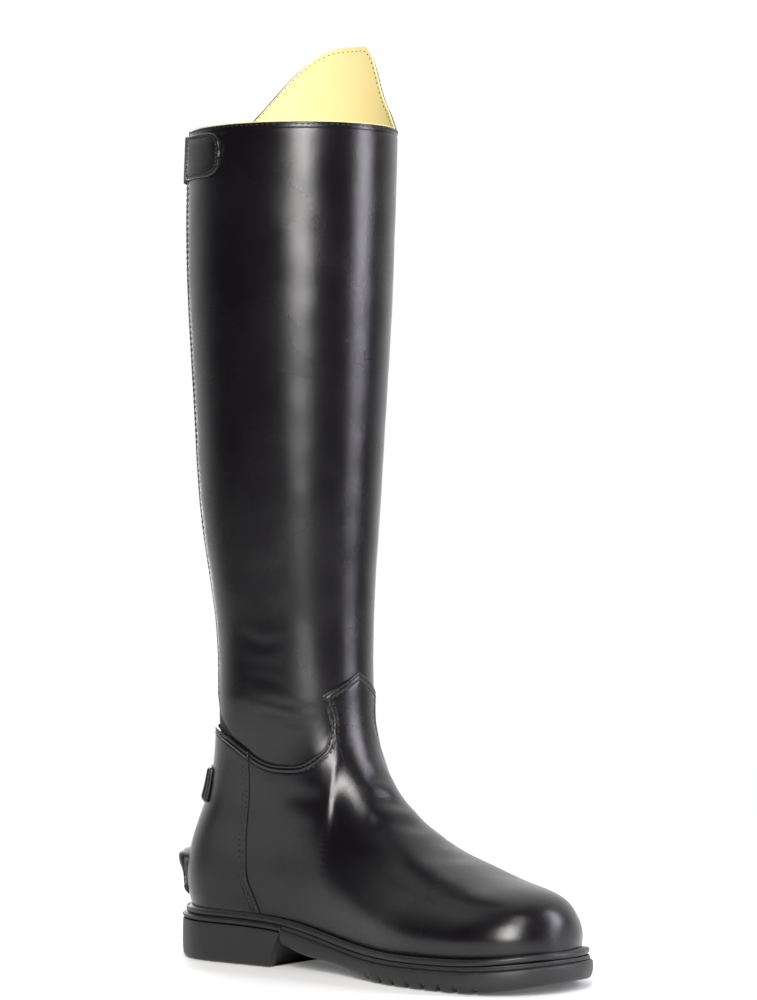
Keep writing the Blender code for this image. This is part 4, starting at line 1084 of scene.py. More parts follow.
def seam_row(distance):
    """A row at a distance inside the top seam: the seam's shares moved square to it."""
    round_by = metres_per_share(0.002, 0)
    up_by = metres_per_share(0, 0.002)
    along = np.stack([np.gradient(seam_u) * round_by, np.gradient(seam_v) * up_by])
    along /= np.linalg.norm(along, axis=0)
    a = seam_u + distance * along[1] / round_by
    b = seam_v - distance * along[0] / up_by
    away = distance_from(last_surface(a, b), seam_path)
    good = (away > 0.97 * distance) & (SEAM_T > 0.07) & (a < 0.5)
    a, b = a[good], b[good]
    return mirrored_rows(a, b, np.where(a < COUNTER_EDGE[-1, 1], COUNTER_LIFT, VAMP_LIFT) - 0.0001)


def counter_row(distance):
    """A row behind the counter's front edge."""
    rise = np.linspace(0.035, 0.955, 300)
    a, b = foot_shares(COUNTER_SHARE - distance / counter_reach(rise), rise)
    return mirrored_rows(a, b, COUNTER_LIFT - 0.0001)


foot_rows = [seam_row(row) for row in SEAM_ROWS] + [counter_row(row) for row in COUNTER_ROWS]
sew("upper_stitches", sum(foot_rows, []))

# %% [markdown]
# The leg is one sheet of calf, wrapped round the shin and open at the back for the
# elastic panel and the zip. It is lined in pale leather, whose edge shows as a thin line
# at the collar. The sheet's rows start at the same hidden edge as the CAD wall.

# %% The leg and its lining
LEG_LEATHER = 0.0011             # the outer sheet; the lining makes up the rest of the wall
COLLAR_ROW = 0.0013              # stitches under the collar's rim
COLLAR_FOLD = 0.0038             # lower edge of the folded rim
GUSSET_ROWS = (0.0016, 0.0046)
GUSSET_CORD = 0.0031
gusset_low = tuck_line(PANEL_SHARE)
COLLAR_TIGHT = np.array([0, 0.15, 0.5, 0.9, 1.3, 2.0, 2.8, 3.4, 3.8, 4.2, 5.2, 7.0]) / 1000


def gusset_u(v):
    """u of the leg's edge along the gusset at v."""
    return gusset_line((v - gusset_low) / (2 - gusset_low))


def leg_grid(columns, rows, inset=0.0):
    """u and v of the leg's sheet, with rows close together under the collar."""
    inner = GUSSET_EDGE[-1, 1]
    outer = 1 - OUTER_SHARE
    edge = np.array([0, 0.0006, 0.0018, 0.0034, 0.005, 0.0066, 0.0085, 0.011, 0.014])
    peak = np.linspace(0, 1, columns)[1:-1]
    around = np.concatenate([inner + edge, inner + 0.014 + (outer - inner - 0.018) * peak,
                             outer - 0.004 + np.array([0, 0.0016, 0.0028, 0.0036, 0.004])])
    top = collar_v(around) - inset / LEG_HEIGHT
    low = tuck_line(around) + TUCK_SLACK_SHARE
    close = COLLAR_TIGHT[::-1] / LEG_HEIGHT
    share = np.linspace(0, 1, rows)[:, None]
    v = np.concatenate([low + (top - close[0] - low) * share, top - close[1:, None]])
    fade = np.clip(1 - (around - inner) / 0.14, 0, 1)
    return around + fade * (gusset_u(v) - inner), v, around


u, v, around = leg_grid(196, 160)
plain_points = last_surface(u, v)
leg_top = (collar_v(around) - v) * LEG_HEIGHT
from_gusset = np.linalg.norm(np.diff(plain_points, axis=1), axis=2)
from_gusset = np.concatenate([np.zeros((len(u), 1)), np.cumsum(from_gusset, axis=1)], axis=1)
rows_fade = ease(0.94, 1.0, v)
lift = groove(leg_top, 0, 0.0005, 0.0002) + groove(from_gusset, 0, 0.0005, 0.0003)
lift = lift + groove(leg_top, COLLAR_ROW, 0.00012) + groove(leg_top, COLLAR_FOLD, 0.00022, 0.0005)
lift = lift + rows_fade * sum(groove(from_gusset, row, 0.0002) for row in GUSSET_ROWS)
lift = lift - rows_fade * groove(from_gusset, GUSSET_CORD, 0.00035, 0.0007)
above = ease(0.004, 0.03, v - top_seam(u)) * ease(0.002, 0.012, leg_top)
lift = lift + above * (crease_relief(plain_points, LEG_CREASES) + swells(plain_points, 0.00011))
lift = np.minimum(lift, np.where(v < top_seam(u) + 0.01, 0.0001, 1.0))
out = normals(u, v)
leg_skin = wall("shaft_skin", plain_points + lift[..., None] * out,
                plain_points - LEG_LEATHER * out, [CALF, EDGE])
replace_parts(leg_skin, "shaft")

u, v, around = leg_grid(110, 70)
v = v + 0.0005 * ease(0.0, 0.4, (v - 1.9) / 0.1) / LEG_HEIGHT
u = u + 0.004 * (1 - 2 * np.linspace(0, 1, u.shape[1]))
wall("shaft_lining", leather(u, v, -LEG_LEATHER - 0.0001), leather(u, v, -SHAFT_WALL), [LINING])

# %% [markdown]
# The leg's stitches run under the collar's rim, on both sides of the sheet, and along its
# edge beside the elastic panel.

# %% The leg's stitches
share = np.linspace(0.13, 1 - OUTER_SHARE - 0.003, 900)
below = COLLAR_ROW / LEG_HEIGHT
rim_row = row_on_last(share, collar_v(share) - below, 0.0, pitch=0.0032, wide=0.0006)
rim_inside = row_on_last(share, collar_v(share) - below * 1.5, -SHAFT_WALL, pitch=0.0032, long=0.0014,
                         wide=0.0004)
rise = np.linspace(1.0, 1.985, 700)
LEG_ROUND = 2 * math.pi * 0.052  # metres per unit of u
gusset_rows = [row_on_last(gusset_u(rise) + row / LEG_ROUND, rise, 0.0, pitch=0.0032) for row in GUSSET_ROWS]
sew("leg_stitches", [rim_row, rim_inside] + gusset_rows)

# %% [markdown]
# The elastic panel beside the zip is ribbed across, so each rib is modelled as a low
# wave up the panel, and the weave between them is left to the material.

# %% The elastic panel and the strips beside the zip
def edge_gap(z):
    """Share round the leg at height z of a little more than the gap between pieces."""
    half = np.where(z < ANKLE_HEIGHT, ANKLE_WIDTH, leg_at(z)[2]) / 2
    return GAP * 1.3 / (2 * math.pi * half)


def facing_u(v, edge):
    """u of a facing's outer edge: beside the slot in the foot, then out to the edge."""
    narrow = u_at(ZIP_SLOT - GAP, v)
    return narrow + (edge - narrow) * ease(top_seam(0.0) + 0.003, top_seam(0.0) + 0.014, v)


low = gusset_low + TUCK_SLACK_SHARE
v = np.linspace(low, 2.0, 900)[:, None]
start = facing_u(v, FACING_SHARE) + 2 * edge_gap(back_height(v))
end = gusset_u(v) - 2 * edge_gap(back_height(v))
u = start + (end - start) * np.linspace(0, 1, 16)
v = np.broadcast_to(v, u.shape)
ribs = 0.00016 * np.abs(np.sin(math.pi * back_height(v) / 0.0016)) - 0.00016
gusset = wall("gusset_ribbed", leather(u, v, -ELASTIC_RECESS + ribs),
              leather(u, v, -ELASTIC_RECESS - ELASTIC_WALL), [ELASTIC])
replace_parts(gusset, "gusset_elastic")


FACING_ROWS = (0.20, 0.62, 0.90)     # stitches, as shares of its width


def make_facing(name, side, edge):
    """Strip with a rolled bead at the zip, a crinkled face and three stitched rows."""
    v = np.linspace(v_at(ZIP_LOW + 2 * GAP), v_at(COLLAR_HEIGHT), 420)[:, None]
    start = u_at(FACING_EDGE, v[:, 0])[:, None]
    end = facing_u(v, edge)
    across = np.array([0, 0.02, 0.05, 0.09, 0.14, 0.19, 0.24, 0.30, 0.37, 0.44, 0.50, 0.56, 0.62, 0.68,
                       0.74, 0.80, 0.86, 0.92, 0.97, 1.0])
    u = start + (end - start) * across
    v = np.broadcast_to(v, u.shape)
    place = leather(side * u, v, 0.0)
    bead = -groove(across, 0.06, 0.00035, 0.06)
    turn = np.random.default_rng(3)
    crinkle = np.zeros(u.shape)
    for wave in (0.009, 0.0065, 0.0048):
        for i in range(3):
            way = np.array([0.0, turn.normal() * 0.7, 1.0]) * 2 * math.pi / wave
            crinkle += np.sin(place @ way + turn.uniform(0, 6.3)) / 3
    crinkle *= 0.00012 * np.clip(across - 0.1, 0, 0.4) * 2.5
    lift = FACING_LIFT + bead + crinkle + groove(across, 0, 0.0006, 0.02)
    lift = lift + groove(across, FACING_ROWS[1], 0.00014, 0.04)
    lift = np.minimum(lift, FACING_LIFT + 0.0002 * (v < 1.0) + 0.0004)
    piece = wall(name + "_skin", leather(side * u, v, lift),
                 leather(side * u, v, FACING_LIFT - FACING_WALL), [TRIM])
    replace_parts(piece, name)
    rows = []
    for s in FACING_ROWS:
        line = v[:, 0] if s == FACING_ROWS[0] else v[v[:, 0] > 1.0, 0]
        begin, stop = u_at(FACING_EDGE, line), facing_u(line, edge)
        rows.append(row_on_last(side * (begin + (stop - begin) * s), line, FACING_LIFT, wide=0.0005))
    return rows


facing_rows = make_facing("zip_facing_inner", 1, FACING_SHARE)
facing_rows += make_facing("zip_facing_outer", -1, OUTER_SHARE - 0.0015)
sew("facing_stitches", facing_rows)

# %% [markdown]
# A closed coil zip is a spiral of stiff thread on each tape. Every turn is one small
# capsule across the middle, those of the left tape between those of the right.

# %% The zip's coil and its tape
def coil_side(side, phase):
    """Turns of one tape: short capsules from the tape's edge to past the middle."""
    z = np.arange(ZIP_LOW + 0.001 + phase, COLLAR_HEIGHT - TEETH_DROP, COIL_PITCH)
    v = v_at(z)
    a = leather(-side * u_at(0.0004, v), v, TEETH_CROWN - 0.0005)
    b = leather(side * u_at(0.0023, v), v, TEETH_CROWN - 0.0008)
    long = np.linalg.norm(b - a, axis=1)[:, None, None]
    return capsules((a + b) / 2, b - a, normals(np.zeros_like(v), v), long, 0.0007, 0.0008)


COIL_PITCH = 0.0014
turns = np.concatenate([coil_side(1, 0.0), coil_side(-1, COIL_PITCH / 2)])
capsule_piece("zip_coil", turns, COIL)
v = np.linspace(v_at(ZIP_LOW + 2 * GAP), v_at(COLLAR_HEIGHT - TEETH_DROP), 160)[:, None]
u = u_at(TEETH_HALF, v[:, 0])[:, None] * np.linspace(-1, 1, 9)
v = np.broadcast_to(v, u.shape)
cords = -0.0012 - 0.0004 * np.cos(np.linspace(-1, 1, 9) * math.pi)
cord = wall("zip_coil_bed", leather(u, v, cords), leather(u, v, TAPE_LIFT + GAP), [TAPE])
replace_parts(cord, "zip_teeth")

# %% [markdown]
# The collar is closed by a short strap: a leather tab sewn to the leg on the inner side,
# a woven elastic band, and a leather end with a snap. The leather ends are rounded, with
# a raised middle and a row of stitches close to the border.

# %% The strap at the collar
STRAP_MIDDLE = COLLAR_HEIGHT - STRAP_DROP - STRAP_WIDTH / 2
BORDER_ROW = 0.0022              # stitches inside a patch's rim
BORDER_STITCH = dict(pitch=0.0023, long=0.0017, wide=0.0009, tall=0.0009)


def strap_grid(span, columns, rows, round_start=0.0, round_end=0.0):
    """u and v of a band round the collar, with ends rounded over a share of its length."""
    across = (1 - np.cos(np.linspace(0, math.pi, columns))) / 2
    squeeze = np.ones_like(across)
    for end, place in ((round_start, across), (round_end, 1 - across)):
        if end > 0:
            squeeze *= np.clip(1 - np.clip(1 - place / end, 0, 1) ** 2.6, 0, 1) ** (1 / 2.6)
    squeeze = 0.12 + 0.88 * squeeze
    high = (1 - np.cos(np.linspace(0, math.pi, rows))) / 2 - 0.5
    z = STRAP_MIDDLE + high[:, None] * STRAP_WIDTH * squeeze
    u = np.broadcast_to(span[0] + (span[1] - span[0]) * across, z.shape)
    return u, v_at(z)


def rim_distance(points):
    """Distance of each grid point from the grid's own rim."""
    rim = np.concatenate([points[0], points[-1], points[:, 0], points[:, -1]])
    return np.min(np.linalg.norm(points[:, :, None, :] - rim[None, None], axis=-1), axis=2)


RIM_ROUND = 0.0004


def rounded(rim):
    """Fall of a rounded rim: 1 at the rim, and nearly 0 a millimetre inside it."""
    return np.exp(-(rim / RIM_ROUND) ** 2)


def padded_patch(name, u, v, base, thick, node):
    """A sewn patch: rounded at the rim, grooved under its stitches, crowned inside."""
    flat = leather(u, v, base)
    rim = rim_distance(flat)
    lift = base + thick - 0.55 * thick * rounded(rim) + groove(rim, BORDER_ROW, 0.00025, 0.0006)
    lift = lift + 0.0004 * ease(BORDER_ROW, 0.006, rim)
    piece = wall(name, leather(u, v, lift), flat, [TRIM], angle=60)
    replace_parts(piece, node)
    return border_row(u, v, base + thick - 0.0001, BORDER_ROW, **BORDER_STITCH)


def border_row(u, v, lift, inset, **sizes):
    """Stitches along the rim of a grid, at a distance inside it."""
    loop_u = np.concatenate([u[0, :-1], u[:-1, -1], u[-1, :0:-1], u[:0:-1, 0]])
    loop_v = np.concatenate([v[0, :-1], v[:-1, -1], v[-1, :0:-1], v[:0:-1, 0]])
    centre_u, centre_v = loop_u.mean(), loop_v.mean()
    place = leather(loop_u, loop_v, lift)
    centre = leather(centre_u, centre_v, lift)
    half = np.linalg.norm(place - centre, axis=1)
    near = np.min(np.linalg.norm(place[:, None] - centre, axis=-1))
    share = 1 - inset / np.minimum(half, 1.6 * near)
    inner_u = centre_u + (loop_u - centre_u) * share
    inner_v = centre_v + (loop_v - centre_v) * share
    inner_u, inner_v = np.append(inner_u, inner_u[0]), np.append(inner_v, inner_v[0])
    return row_on_last(inner_u, inner_v, lift, **sizes)


over_facing = FACING_LIFT + GAP
u, v = strap_grid(ANCHOR_SHARES, 46, 34, round_end=0.35)
anchor_row = padded_patch("strap_anchor_skin", u, v, GAP, STRAP_WALL, "strap_anchor")
u, v = strap_grid(STRAP_END_SHARES, 60, 34, round_start=0.30)
end_row = padded_patch("strap_end_skin", u, v, over_facing, STRAP_WALL, "strap_end")
sew("strap_stitches", [anchor_row, end_row])

u, v = strap_grid(ELASTIC_SHARES, 40, 120)
ribs = 0.00012 * np.abs(np.sin(math.pi * (v - v.min()) * LEG_HEIGHT / 0.0014)) - 0.00012
band = wall("strap_elastic_woven", leather(u, v, over_facing + ELASTIC_WALL + ribs),
            leather(u, v, over_facing), [ELASTIC])
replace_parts(band, "strap_elastic")

# %% [markdown]
# On the counter sit the spur rest, a stitched tab that swells into a ledge, and two small
# patches beside the zip. The ledge's profile is the table of the CAD part, made round.

# %% The spur rest and the patches beside the zip
def spur_grid(columns=90):
    """Sections of the rest: its profile, smoothed, with the ledge fading at the sides."""
    place = np.sin(np.linspace(-math.pi / 2, math.pi / 2, columns))
    full = (1 - np.abs(place) ** 5) ** 0.4
    ledge = np.maximum(0.0, 1 - place**2) ** 0.6
    middle = (SPUR_TOP + SPUR_LOW) / 2
    low = middle + (SPUR_LOW - middle) * (0.35 + 0.65 * full)
    high = middle + (SPUR_TOP - middle) * (0.55 + 0.45 * full)
    rise = np.linspace(0, 1, 48)
    swell = np.interp(rise, SPUR_PROFILE[:, 0], SPUR_PROFILE[:, 1])
    swell = np.convolve(np.pad(swell, 2, mode="edge"), np.ones(5) / 5, mode="valid")
    z = low + (high - low) * rise[:, None]
    u = np.broadcast_to(place * u_at(SPUR_HALF, v_at(middle)), z.shape)
    edge = np.minimum(rise, 1 - rise)[:, None] * (high - low)
    thick = SPUR_WALL * (1 - 0.45 * rounded(edge))
    return u, v_at(z), thick + SPUR_REACH * swell[:, None] * ledge


u, v, reach = spur_grid()
base = COUNTER_LIFT + TRIM_GAP
rest = wall("spur_rest_skin", leather(u, v, base + reach), leather(u, v, base), [TRIM],
            angle=60)
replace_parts(rest, "spur_rest")
share = np.linspace(6, 83, 200)
low_row = [np.interp(share, np.arange(90), grid[4]) for grid in (u, v, reach)]
trim_rows = [row_on_last(low_row[0], low_row[1], base + low_row[2], **BORDER_STITCH)]


def keeper(side, name):
    """A rounded rectangle sewn on, with a raised bar along its middle."""
    start = u_at(KEEPER_NEAR, v_at(KEEPER_LOW))
    end = u_at(KEEPER_NEAR + KEEPER_WIDE, v_at(KEEPER_LOW))
    across = np.linspace(0, 1, 26)
    corner = np.clip(1 - np.minimum(across, 1 - across) / 0.18, 0, 1)
    squeeze = 1 - 0.16 * (1 - np.sqrt(1 - corner**2))
    high = np.linspace(-0.5, 0.5, 40)
    z = KEEPER_LOW + KEEPER_TALL / 2 + high[:, None] * KEEPER_TALL * squeeze
    v = v_at(z)
    u = np.broadcast_to(side * (start + (end - start) * across), v.shape)
    flat = leather(u, v, base)
    rim = rim_distance(flat)
    bar = ease(0.30, 0.38, across) * (1 - ease(0.62, 0.70, across))
    bar = bar * ease(0.0, 0.12, 0.5 - np.abs(high))[:, None]
    lift = base + KEEPER_WALL * (1 - 0.5 * rounded(rim)) + 0.0010 * bar
    piece = wall(name + "_skin", leather(u, v, lift), flat, [TRIM], angle=60)
    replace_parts(piece, name)
    return border_row(u, v, base + KEEPER_WALL - 0.0001, 0.0015, pitch=0.0023, long=0.0016, wide=0.0006)


trim_rows += [keeper(1, "keeper_inner"), keeper(-1, "keeper_outer")]
sew("trim_stitches", trim_rows)

# %% [markdown]
# The welt is a strip of leather round the foot. It has a rolled bead beside the upper, a
# groove that takes long stitches, and a rim. Its section is carried round the feather line.

# %% The welt
def feather_ring(count, offset):
    """Points round the feather line, moved out level by the offset."""
    ring = leather(np.linspace(0, 1, count, endpoint=False), 0.0, offset)
    ring[:, 2] = feather_z(ring[:, 0])
    return ring


WELT_SECTION = (
    # reach as a share of the margin, height in mm over the welt's top
    (-0.30, 0.0), (0.30, 0.0), (0.36, 0.35), (0.44, 0.50), (0.52, 0.42), (0.58, 0.0), (0.64, -0.35),
    (0.74, -0.38), (0.80, -0.05), (0.88, 0.05), (0.96, -0.10), (1.00, -0.50), (1.00, -1.6),
    (0.985, -2.4), (0.94, -2.85), (0.86, -3.0), (-1.92, -3.0), (-1.92, 0.0), (-1.0, 0.0),
)
WELT_COUNT = 420
rings = np.array([feather_ring(WELT_COUNT, reach * WELT_MARGIN) + (0, 0, high / 1000 - SEAM_GAP)
                  for reach, high in WELT_SECTION])
rings = np.concatenate([rings, rings[:1]])
quads = grid_quads(*rings.shape[:2], wrap=True).reshape(-1, 4)
welt = add_piece("welt_sewn", rings.reshape(-1, 3), quads, [WELT_LOOK], angle=60)
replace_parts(welt, "welt")
WELT_ROW_SHARE = 0.69            # of the margin, in the bottom of the groove
WELT_ROW_SINK = 0.00030
WELT_ROW_START = HEEL_LENGTH - HEEL_BACK - 0.004
ring = leather(np.linspace(0, 1, 1600), 0.0, WELT_ROW_SHARE * WELT_MARGIN)
ring[:, 2] = feather_z(ring[:, 0]) - SEAM_GAP - WELT_ROW_SINK
ring = ring[ring[:, 0] > WELT_ROW_START]
up = np.tile([0.0, 0.0, 1.0], (len(ring), 1))
sew("welt_stitches", [stitches(ring, up, pitch=0.0038, long=0.0031, wide=0.0008, tall=0.0006)])

# %% [markdown]
# The sole and the heel are moulded rubber. Their sides are profiles carried round the
# same outline as the welt. Under them, each ring draws in to the middle line, and the
# tread's grooves run through to the edge, where they show from the side.

# %% The outsole and the heel block
def drawn_in(ring, steps=7):
    """Rings from a closed ring to its middle line: corner i meets corner n - i."""
    pair = ring[(-np.arange(len(ring))) % len(ring)]
    middle = (ring + pair) / 2
    share = np.linspace(1, 0, steps + 1)[1:, None, None]
    return middle + (ring - middle) * share


def tube(name, rings, look):
    """A piece from closed rings, each joined to the next."""
    faces = grid_quads(*rings.shape[:2], wrap=True).reshape(-1, 4)
    return add_piece(name, rings.reshape(-1, 3), faces, [look], angle=35)


BREAST = HEEL_LENGTH / FOOT_LENGTH
TREAD_FLAT = (0.63, 0.82)        # shares along, where the tread lies on the ground


def sole_bottom(s):
    """Height of the sole's underside: the seat over the heel, then the tread's line."""
    seat = feather_z(s * FOOT_LENGTH - HEEL_BACK) - WELT_THICK - SEAT_THICK
    tread = underside(s) * FOREFOOT_HEIGHT
    tread = np.where((s > TREAD_FLAT[0]) & (s < TREAD_FLAT[1]), 0.0, np.maximum(tread, 0.0))
    return np.where(s < BREAST, seat, tread)


def shares_round(s):
    """u on the inner side at shares s along, and home on the outer side."""
    half = np.arccos(1 - 2 * s) / (2 * math.pi)
    return np.concatenate([half, 1 - half[-2:0:-1]])


SOLE_EDGE = (
    (0.00, 0.56), (0.03, 0.70), (0.08, 0.80), (0.14, 0.87), (0.25, 0.94), (0.38, 0.985), (0.50, 1.0),
    (0.62, 1.0), (0.72, 0.985), (0.775, 0.955), (0.80, 0.90), (0.815, 0.76), (0.83, 0.73),
    (0.86, 0.80), (0.92, 0.80), (0.95, 0.74), (1.0, 0.70),
)
even = (1 - np.cos(np.linspace(0, math.pi, 420))) / 2
half_s = np.sort(np.concatenate([even, [BREAST - 0.0006, BREAST + 0.0006]]))
round_u = shares_round(half_s)
s = np.concatenate([half_s, half_s[-2:0:-1]])
x = s * FOOT_LENGTH - HEEL_BACK
bottom = sole_bottom(s)
for i in range(TREAD_COUNT):
    begin = TREAD_START + i * TREAD_PITCH
    bottom = np.where((x > begin) & (x < begin + TREAD_GROOVE), np.maximum(bottom, TREAD_DEPTH), bottom)
top = feather_z(x) - WELT_THICK - SEAM_GAP - GAP


def level_ring(offset, z):
    """Ring round the sole's outline, moved out by the offset, at heights z."""
    ring = leather(round_u, 0.0, offset)
    ring[:, 2] = z
    return ring


side = np.array([level_ring(reach * SOLE_MARGIN, bottom + (top - bottom) * rise)
                 for rise, reach in SOLE_EDGE])
under = drawn_in(side[0])[::-1]
inside_low = level_ring(-WELT_INSIDE - GAP, top)
inside_high = level_ring(-WELT_INSIDE - GAP, top + WELT_THICK)
rings = np.concatenate([under, side, [inside_low, inside_high], drawn_in(inside_high)])
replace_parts(tube("outsole_moulded", rings, RUBBER), "outsole")

HEEL_EDGE = (
    (0.0, 0.72), (0.02, 0.83), (0.05, 0.90), (0.10, 0.95), (0.20, 0.98), (0.35, 1.0), (0.60, 1.0),
    (0.85, 0.985), (0.95, 0.975), (1.0, 0.95),
)
HOLLOW_CENTRE = 0.003            # of the breast's hollow, from the middle plane
hollow_reach = BALL_WIDTH * 0.36
hollow_radius = (hollow_reach**2 + BREAST_HOLLOW**2) / (2 * BREAST_HOLLOW)
rings = []
for rise, reach in HEEL_EDGE:
    last_s = BREAST - (GAP + (1 - rise) * HEEL_SLANT) / FOOT_LENGTH
    shares = last_s * (1 - np.cos(np.linspace(0, math.pi / 2, 150)))
    u = np.arccos(1 - 2 * shares) / (2 * math.pi)
    inner, outer = leather(u, 0.0, reach * SOLE_MARGIN), leather(1 - u, 0.0, reach * SOLE_MARGIN)
    across = np.linspace(inner[-1], outer[-1], 61)[1:-1]
    arc = np.sqrt(hollow_radius**2 - np.minimum((across[:, 1] - HOLLOW_CENTRE)**2, hollow_reach**2))
    across[:, 0] -= np.clip(arc - (hollow_radius - BREAST_HOLLOW), 0, None)
    ring = np.concatenate([inner, across, outer[:0:-1]])
    seat = sole_bottom(np.clip((ring[:, 0] + HEEL_BACK) / FOOT_LENGTH, 0, BREAST - 0.001)) - GAP
    ring[:, 2] = seat * rise
    rings.append(ring)
rings = np.array(rings)
rings = np.concatenate([drawn_in(rings[0])[::-1], rings, drawn_in(rings[-1])])
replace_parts(tube("heel_block", rings, RUBBER), "heel")

# %% [markdown]
# The pull of the zip ends in a flat leather drop. It turns with the metal tab, so it
# rides on the pull's body and not on the boot.

# %% The zip's leather pull
DROP_ROW = 0.0018                # stitches inside the drop's rim
pivot_z = COLLAR_HEIGHT - STRAP_DROP - STRAP_WIDTH - SLIDER_DROP - 0.55 * SLIDER_LENGTH
pivot = leather(0.0, v_at(pivot_z), FACING_LIFT + GAP + SLIDER_THICK + BRIDGE_HOLE / 2)
share = np.linspace(0, 1, 90)
swell = 0.5 + 0.5 * ease(0.05, 0.70, share)
end = np.sqrt(np.clip(1 - np.clip((share - 0.80) / 0.20, 0, 1) ** 2, 0, 1))
half = np.maximum(LEATHER_PULL_WIDTH / 2 * swell * end, 0.0004)
z = pivot[2] + PULL_BAR / 2 - PULL_LENGTH - GAP - LEATHER_PULL_LENGTH * share
y = half[:, None] * np.sin(np.linspace(-math.pi / 2, math.pi / 2, 34))
z = np.broadcast_to(z[:, None], y.shape)
flat = np.stack([np.full_like(y, pivot[0]), y, z], axis=-1)
rim = rim_distance(flat)
thick = LEATHER_PULL_THICK / 2 * (1 - 0.6 * rounded(rim)) + groove(rim, DROP_ROW, 0.00025, 0.0005)
half_wall = thick[..., None] * np.array([1.0, 0, 0])
drop = wall("zip_drop", flat - half_wall, flat + half_wall, [TRIM], body="zip_pull", angle=60)
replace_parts(drop, "zip_pull_leather")
line = np.clip(half - DROP_ROW, 0.0002, None)
sewn = (share > 0.06) & (share < 0.965)
path = np.stack([np.full(sewn.sum(), pivot[0] - 0.0012), -line[sewn], z[sewn, 0]], axis=-1)
path = np.concatenate([path, path[::-1] * (1, -1, 1)])
out = np.tile([-1.0, 0.0, 0.0], (len(path), 1))
sew("zip_drop_stitches", [stitches(path, out, pitch=0.0024, long=0.0017, wide=0.0006)],
    body="zip_pull")

# %% [markdown]
# The rigid pieces keep their CAD shapes and get the finishes of their real materials.

# %% Finishes on the rigid CAD pieces
RIGID = {
    "insole": LINING, "zip_tape": TAPE,
    "zip_slider": ENAMEL, "zip_pull_tab": ENAMEL, "snap_cap": STEEL,
}
for name, look in RIGID.items():
    for slot_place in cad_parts[name].material_slots:
        slot_place.material = look
print("finishes placed on", len(RIGID), "CAD pieces")

# %% [markdown]
# The photograph was taken from the toe and inner side, level with the middle of the leg,
# with a long lens. One tall soft light stands over the camera, a second far round on the
# outer side and a weak third one behind. The camera's side is dark, which gives black
# leather its depth, and behind the boot everything is white.

# %% Camera, lights and floor
AZIMUTH = math.radians(41.0)
DISTANCE = 1.95
TARGET = Vector((0.099, 0.0, 0.2567))
towards = Vector((math.sin(AZIMUTH), -math.cos(AZIMUTH), 0.0))
lens = bpy.data.cameras.new("camera")
lens.lens = 128.16
lens.sensor_width = 36.0
lens.clip_end = 60.0
camera = add_object("camera", lens)
camera.location = TARGET + DISTANCE * towards
camera.rotation_euler = (-towards).to_track_quat("-Z", "Y").to_euler()
bpy.context.scene.camera = camera


BOOT_AXIS_X = 0.05               # middle of the leg


def soft_light(name, azimuth, distance, height, wide, tall, power, colour):
    """A tall soft box that faces the boot's axis from an azimuth."""
    light = bpy.data.lights.new(name, "AREA")
    light.shape = "RECTANGLE"
    light.size = wide
    light.size_y = tall
    light.energy = power
    light.color = colour
    box = add_object(name, light)
    turn = math.radians(azimuth)
    way = Vector((math.sin(turn), -math.cos(turn), 0.0))
    box.location = Vector((BOOT_AXIS_X, 0.0, height)) + distance * way
    box.rotation_euler = (-way).to_track_quat("-Z", "Y").to_euler()


# Azimuth in degrees, distance and height, width, height and power of the box, colour
soft_light("key softbox", 40, 1.9, 1.22, 0.38, 1.70, 74.0, (1.0, 0.985, 0.97))
soft_light("side softbox", 119, 1.8, 1.05, 0.28, 1.7, 34.0, (0.93, 0.91, 1.0))
soft_light("back softbox", 235, 2.0, 0.9, 0.5, 1.6, 14.0, (1.0, 1.0, 1.0))


FLOOR_RADIUS = 0.95
FLOOR_Z = -0.0006
FLOOR_CORNERS = 96


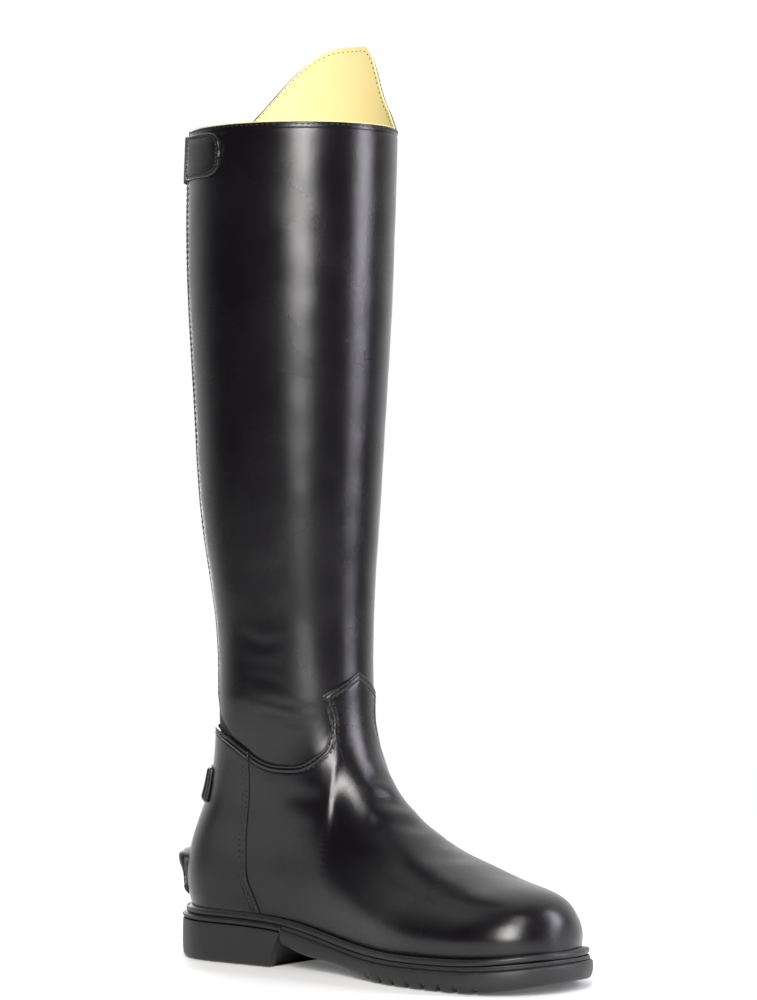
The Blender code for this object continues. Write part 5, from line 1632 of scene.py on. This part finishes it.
def make_floor():
    """A wide pale disc under the boot."""
    turn = np.linspace(0, 2 * math.pi, FLOOR_CORNERS, endpoint=False)
    points = np.stack([FLOOR_RADIUS * np.cos(turn), FLOOR_RADIUS * np.sin(turn), np.full_like(turn, FLOOR_Z)],
                      axis=-1)
    mesh = bpy.data.meshes.new("floor")
    mesh.from_pydata(points.tolist(), [], [list(range(FLOOR_CORNERS))])
    look = bpy.data.materials.new("pale floor")
    look.use_nodes = True
    shader = look.node_tree.nodes["Principled BSDF"]
    shader.inputs["Base Color"].default_value = (0.86, 0.86, 0.86, 1.0)
    shader.inputs["Roughness"].default_value = 0.7
    shader.inputs["Emission Color"].default_value = (1.0, 1.0, 1.0, 1.0)
    shader.inputs["Emission Strength"].default_value = 0.10
    mesh.materials.append(look)
    add_object("floor", mesh)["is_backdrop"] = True


make_floor()
print("camera and", len(bpy.data.lights), "lights round the boot")

# %% [markdown]
# The surroundings are painted on the sky: white behind the boot and overhead, dark on the
# camera's side. The camera itself sees plain white.

# %% Surroundings
def make_surroundings():
    """Brightness rises with direction . (away from the camera, and 0.55 up)."""
    world = bpy.data.worlds.new("studio")
    world.use_nodes = True
    tree = world.node_tree
    tree.nodes.clear()
    place = add_node(tree, "TexCoord")
    side = add_node(tree, "VectorMath")
    side.operation = "DOT_PRODUCT"
    side.inputs[1].default_value = (-towards.x, -towards.y, 0.55)
    tree.links.new(place.outputs["Generated"], side.inputs[0])
    spread = add_node(tree, "MapRange", {"From Min": 0.10, "From Max": 0.95, "To Min": 0.02, "To Max": 1.1})
    spread.interpolation_type = "SMOOTHSTEP"
    tree.links.new(side.outputs["Value"], spread.inputs["Value"])
    around_light = add_node(tree, "Background", {"Color": (1.0, 1.0, 1.0, 1.0)})
    tree.links.new(spread.outputs["Result"], around_light.inputs["Strength"])
    seen = add_node(tree, "Background", {"Color": (1.0, 1.0, 1.0, 1.0), "Strength": 1.0})
    path = add_node(tree, "LightPath")
    mix = add_node(tree, "MixShader")
    tree.links.new(path.outputs["Is Camera Ray"], mix.inputs[0])
    tree.links.new(around_light.outputs[0], mix.inputs[1])
    tree.links.new(seen.outputs[0], mix.inputs[2])
    out = add_node(tree, "OutputWorld")
    tree.links.new(mix.outputs[0], out.inputs["Surface"])
    bpy.context.scene.world = world


make_surroundings()
bpy.context.scene.view_settings.view_transform = "Standard"
bpy.context.scene.view_settings.look = "None"
print("surroundings:", bpy.context.scene.world.name)

# %% [markdown]
# Last, the model's box is measured and printed.

# %% The model's box
low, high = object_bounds()
print("visual box, mm:", [round(1000 * (b - a), 1) for a, b in zip(low, high)])
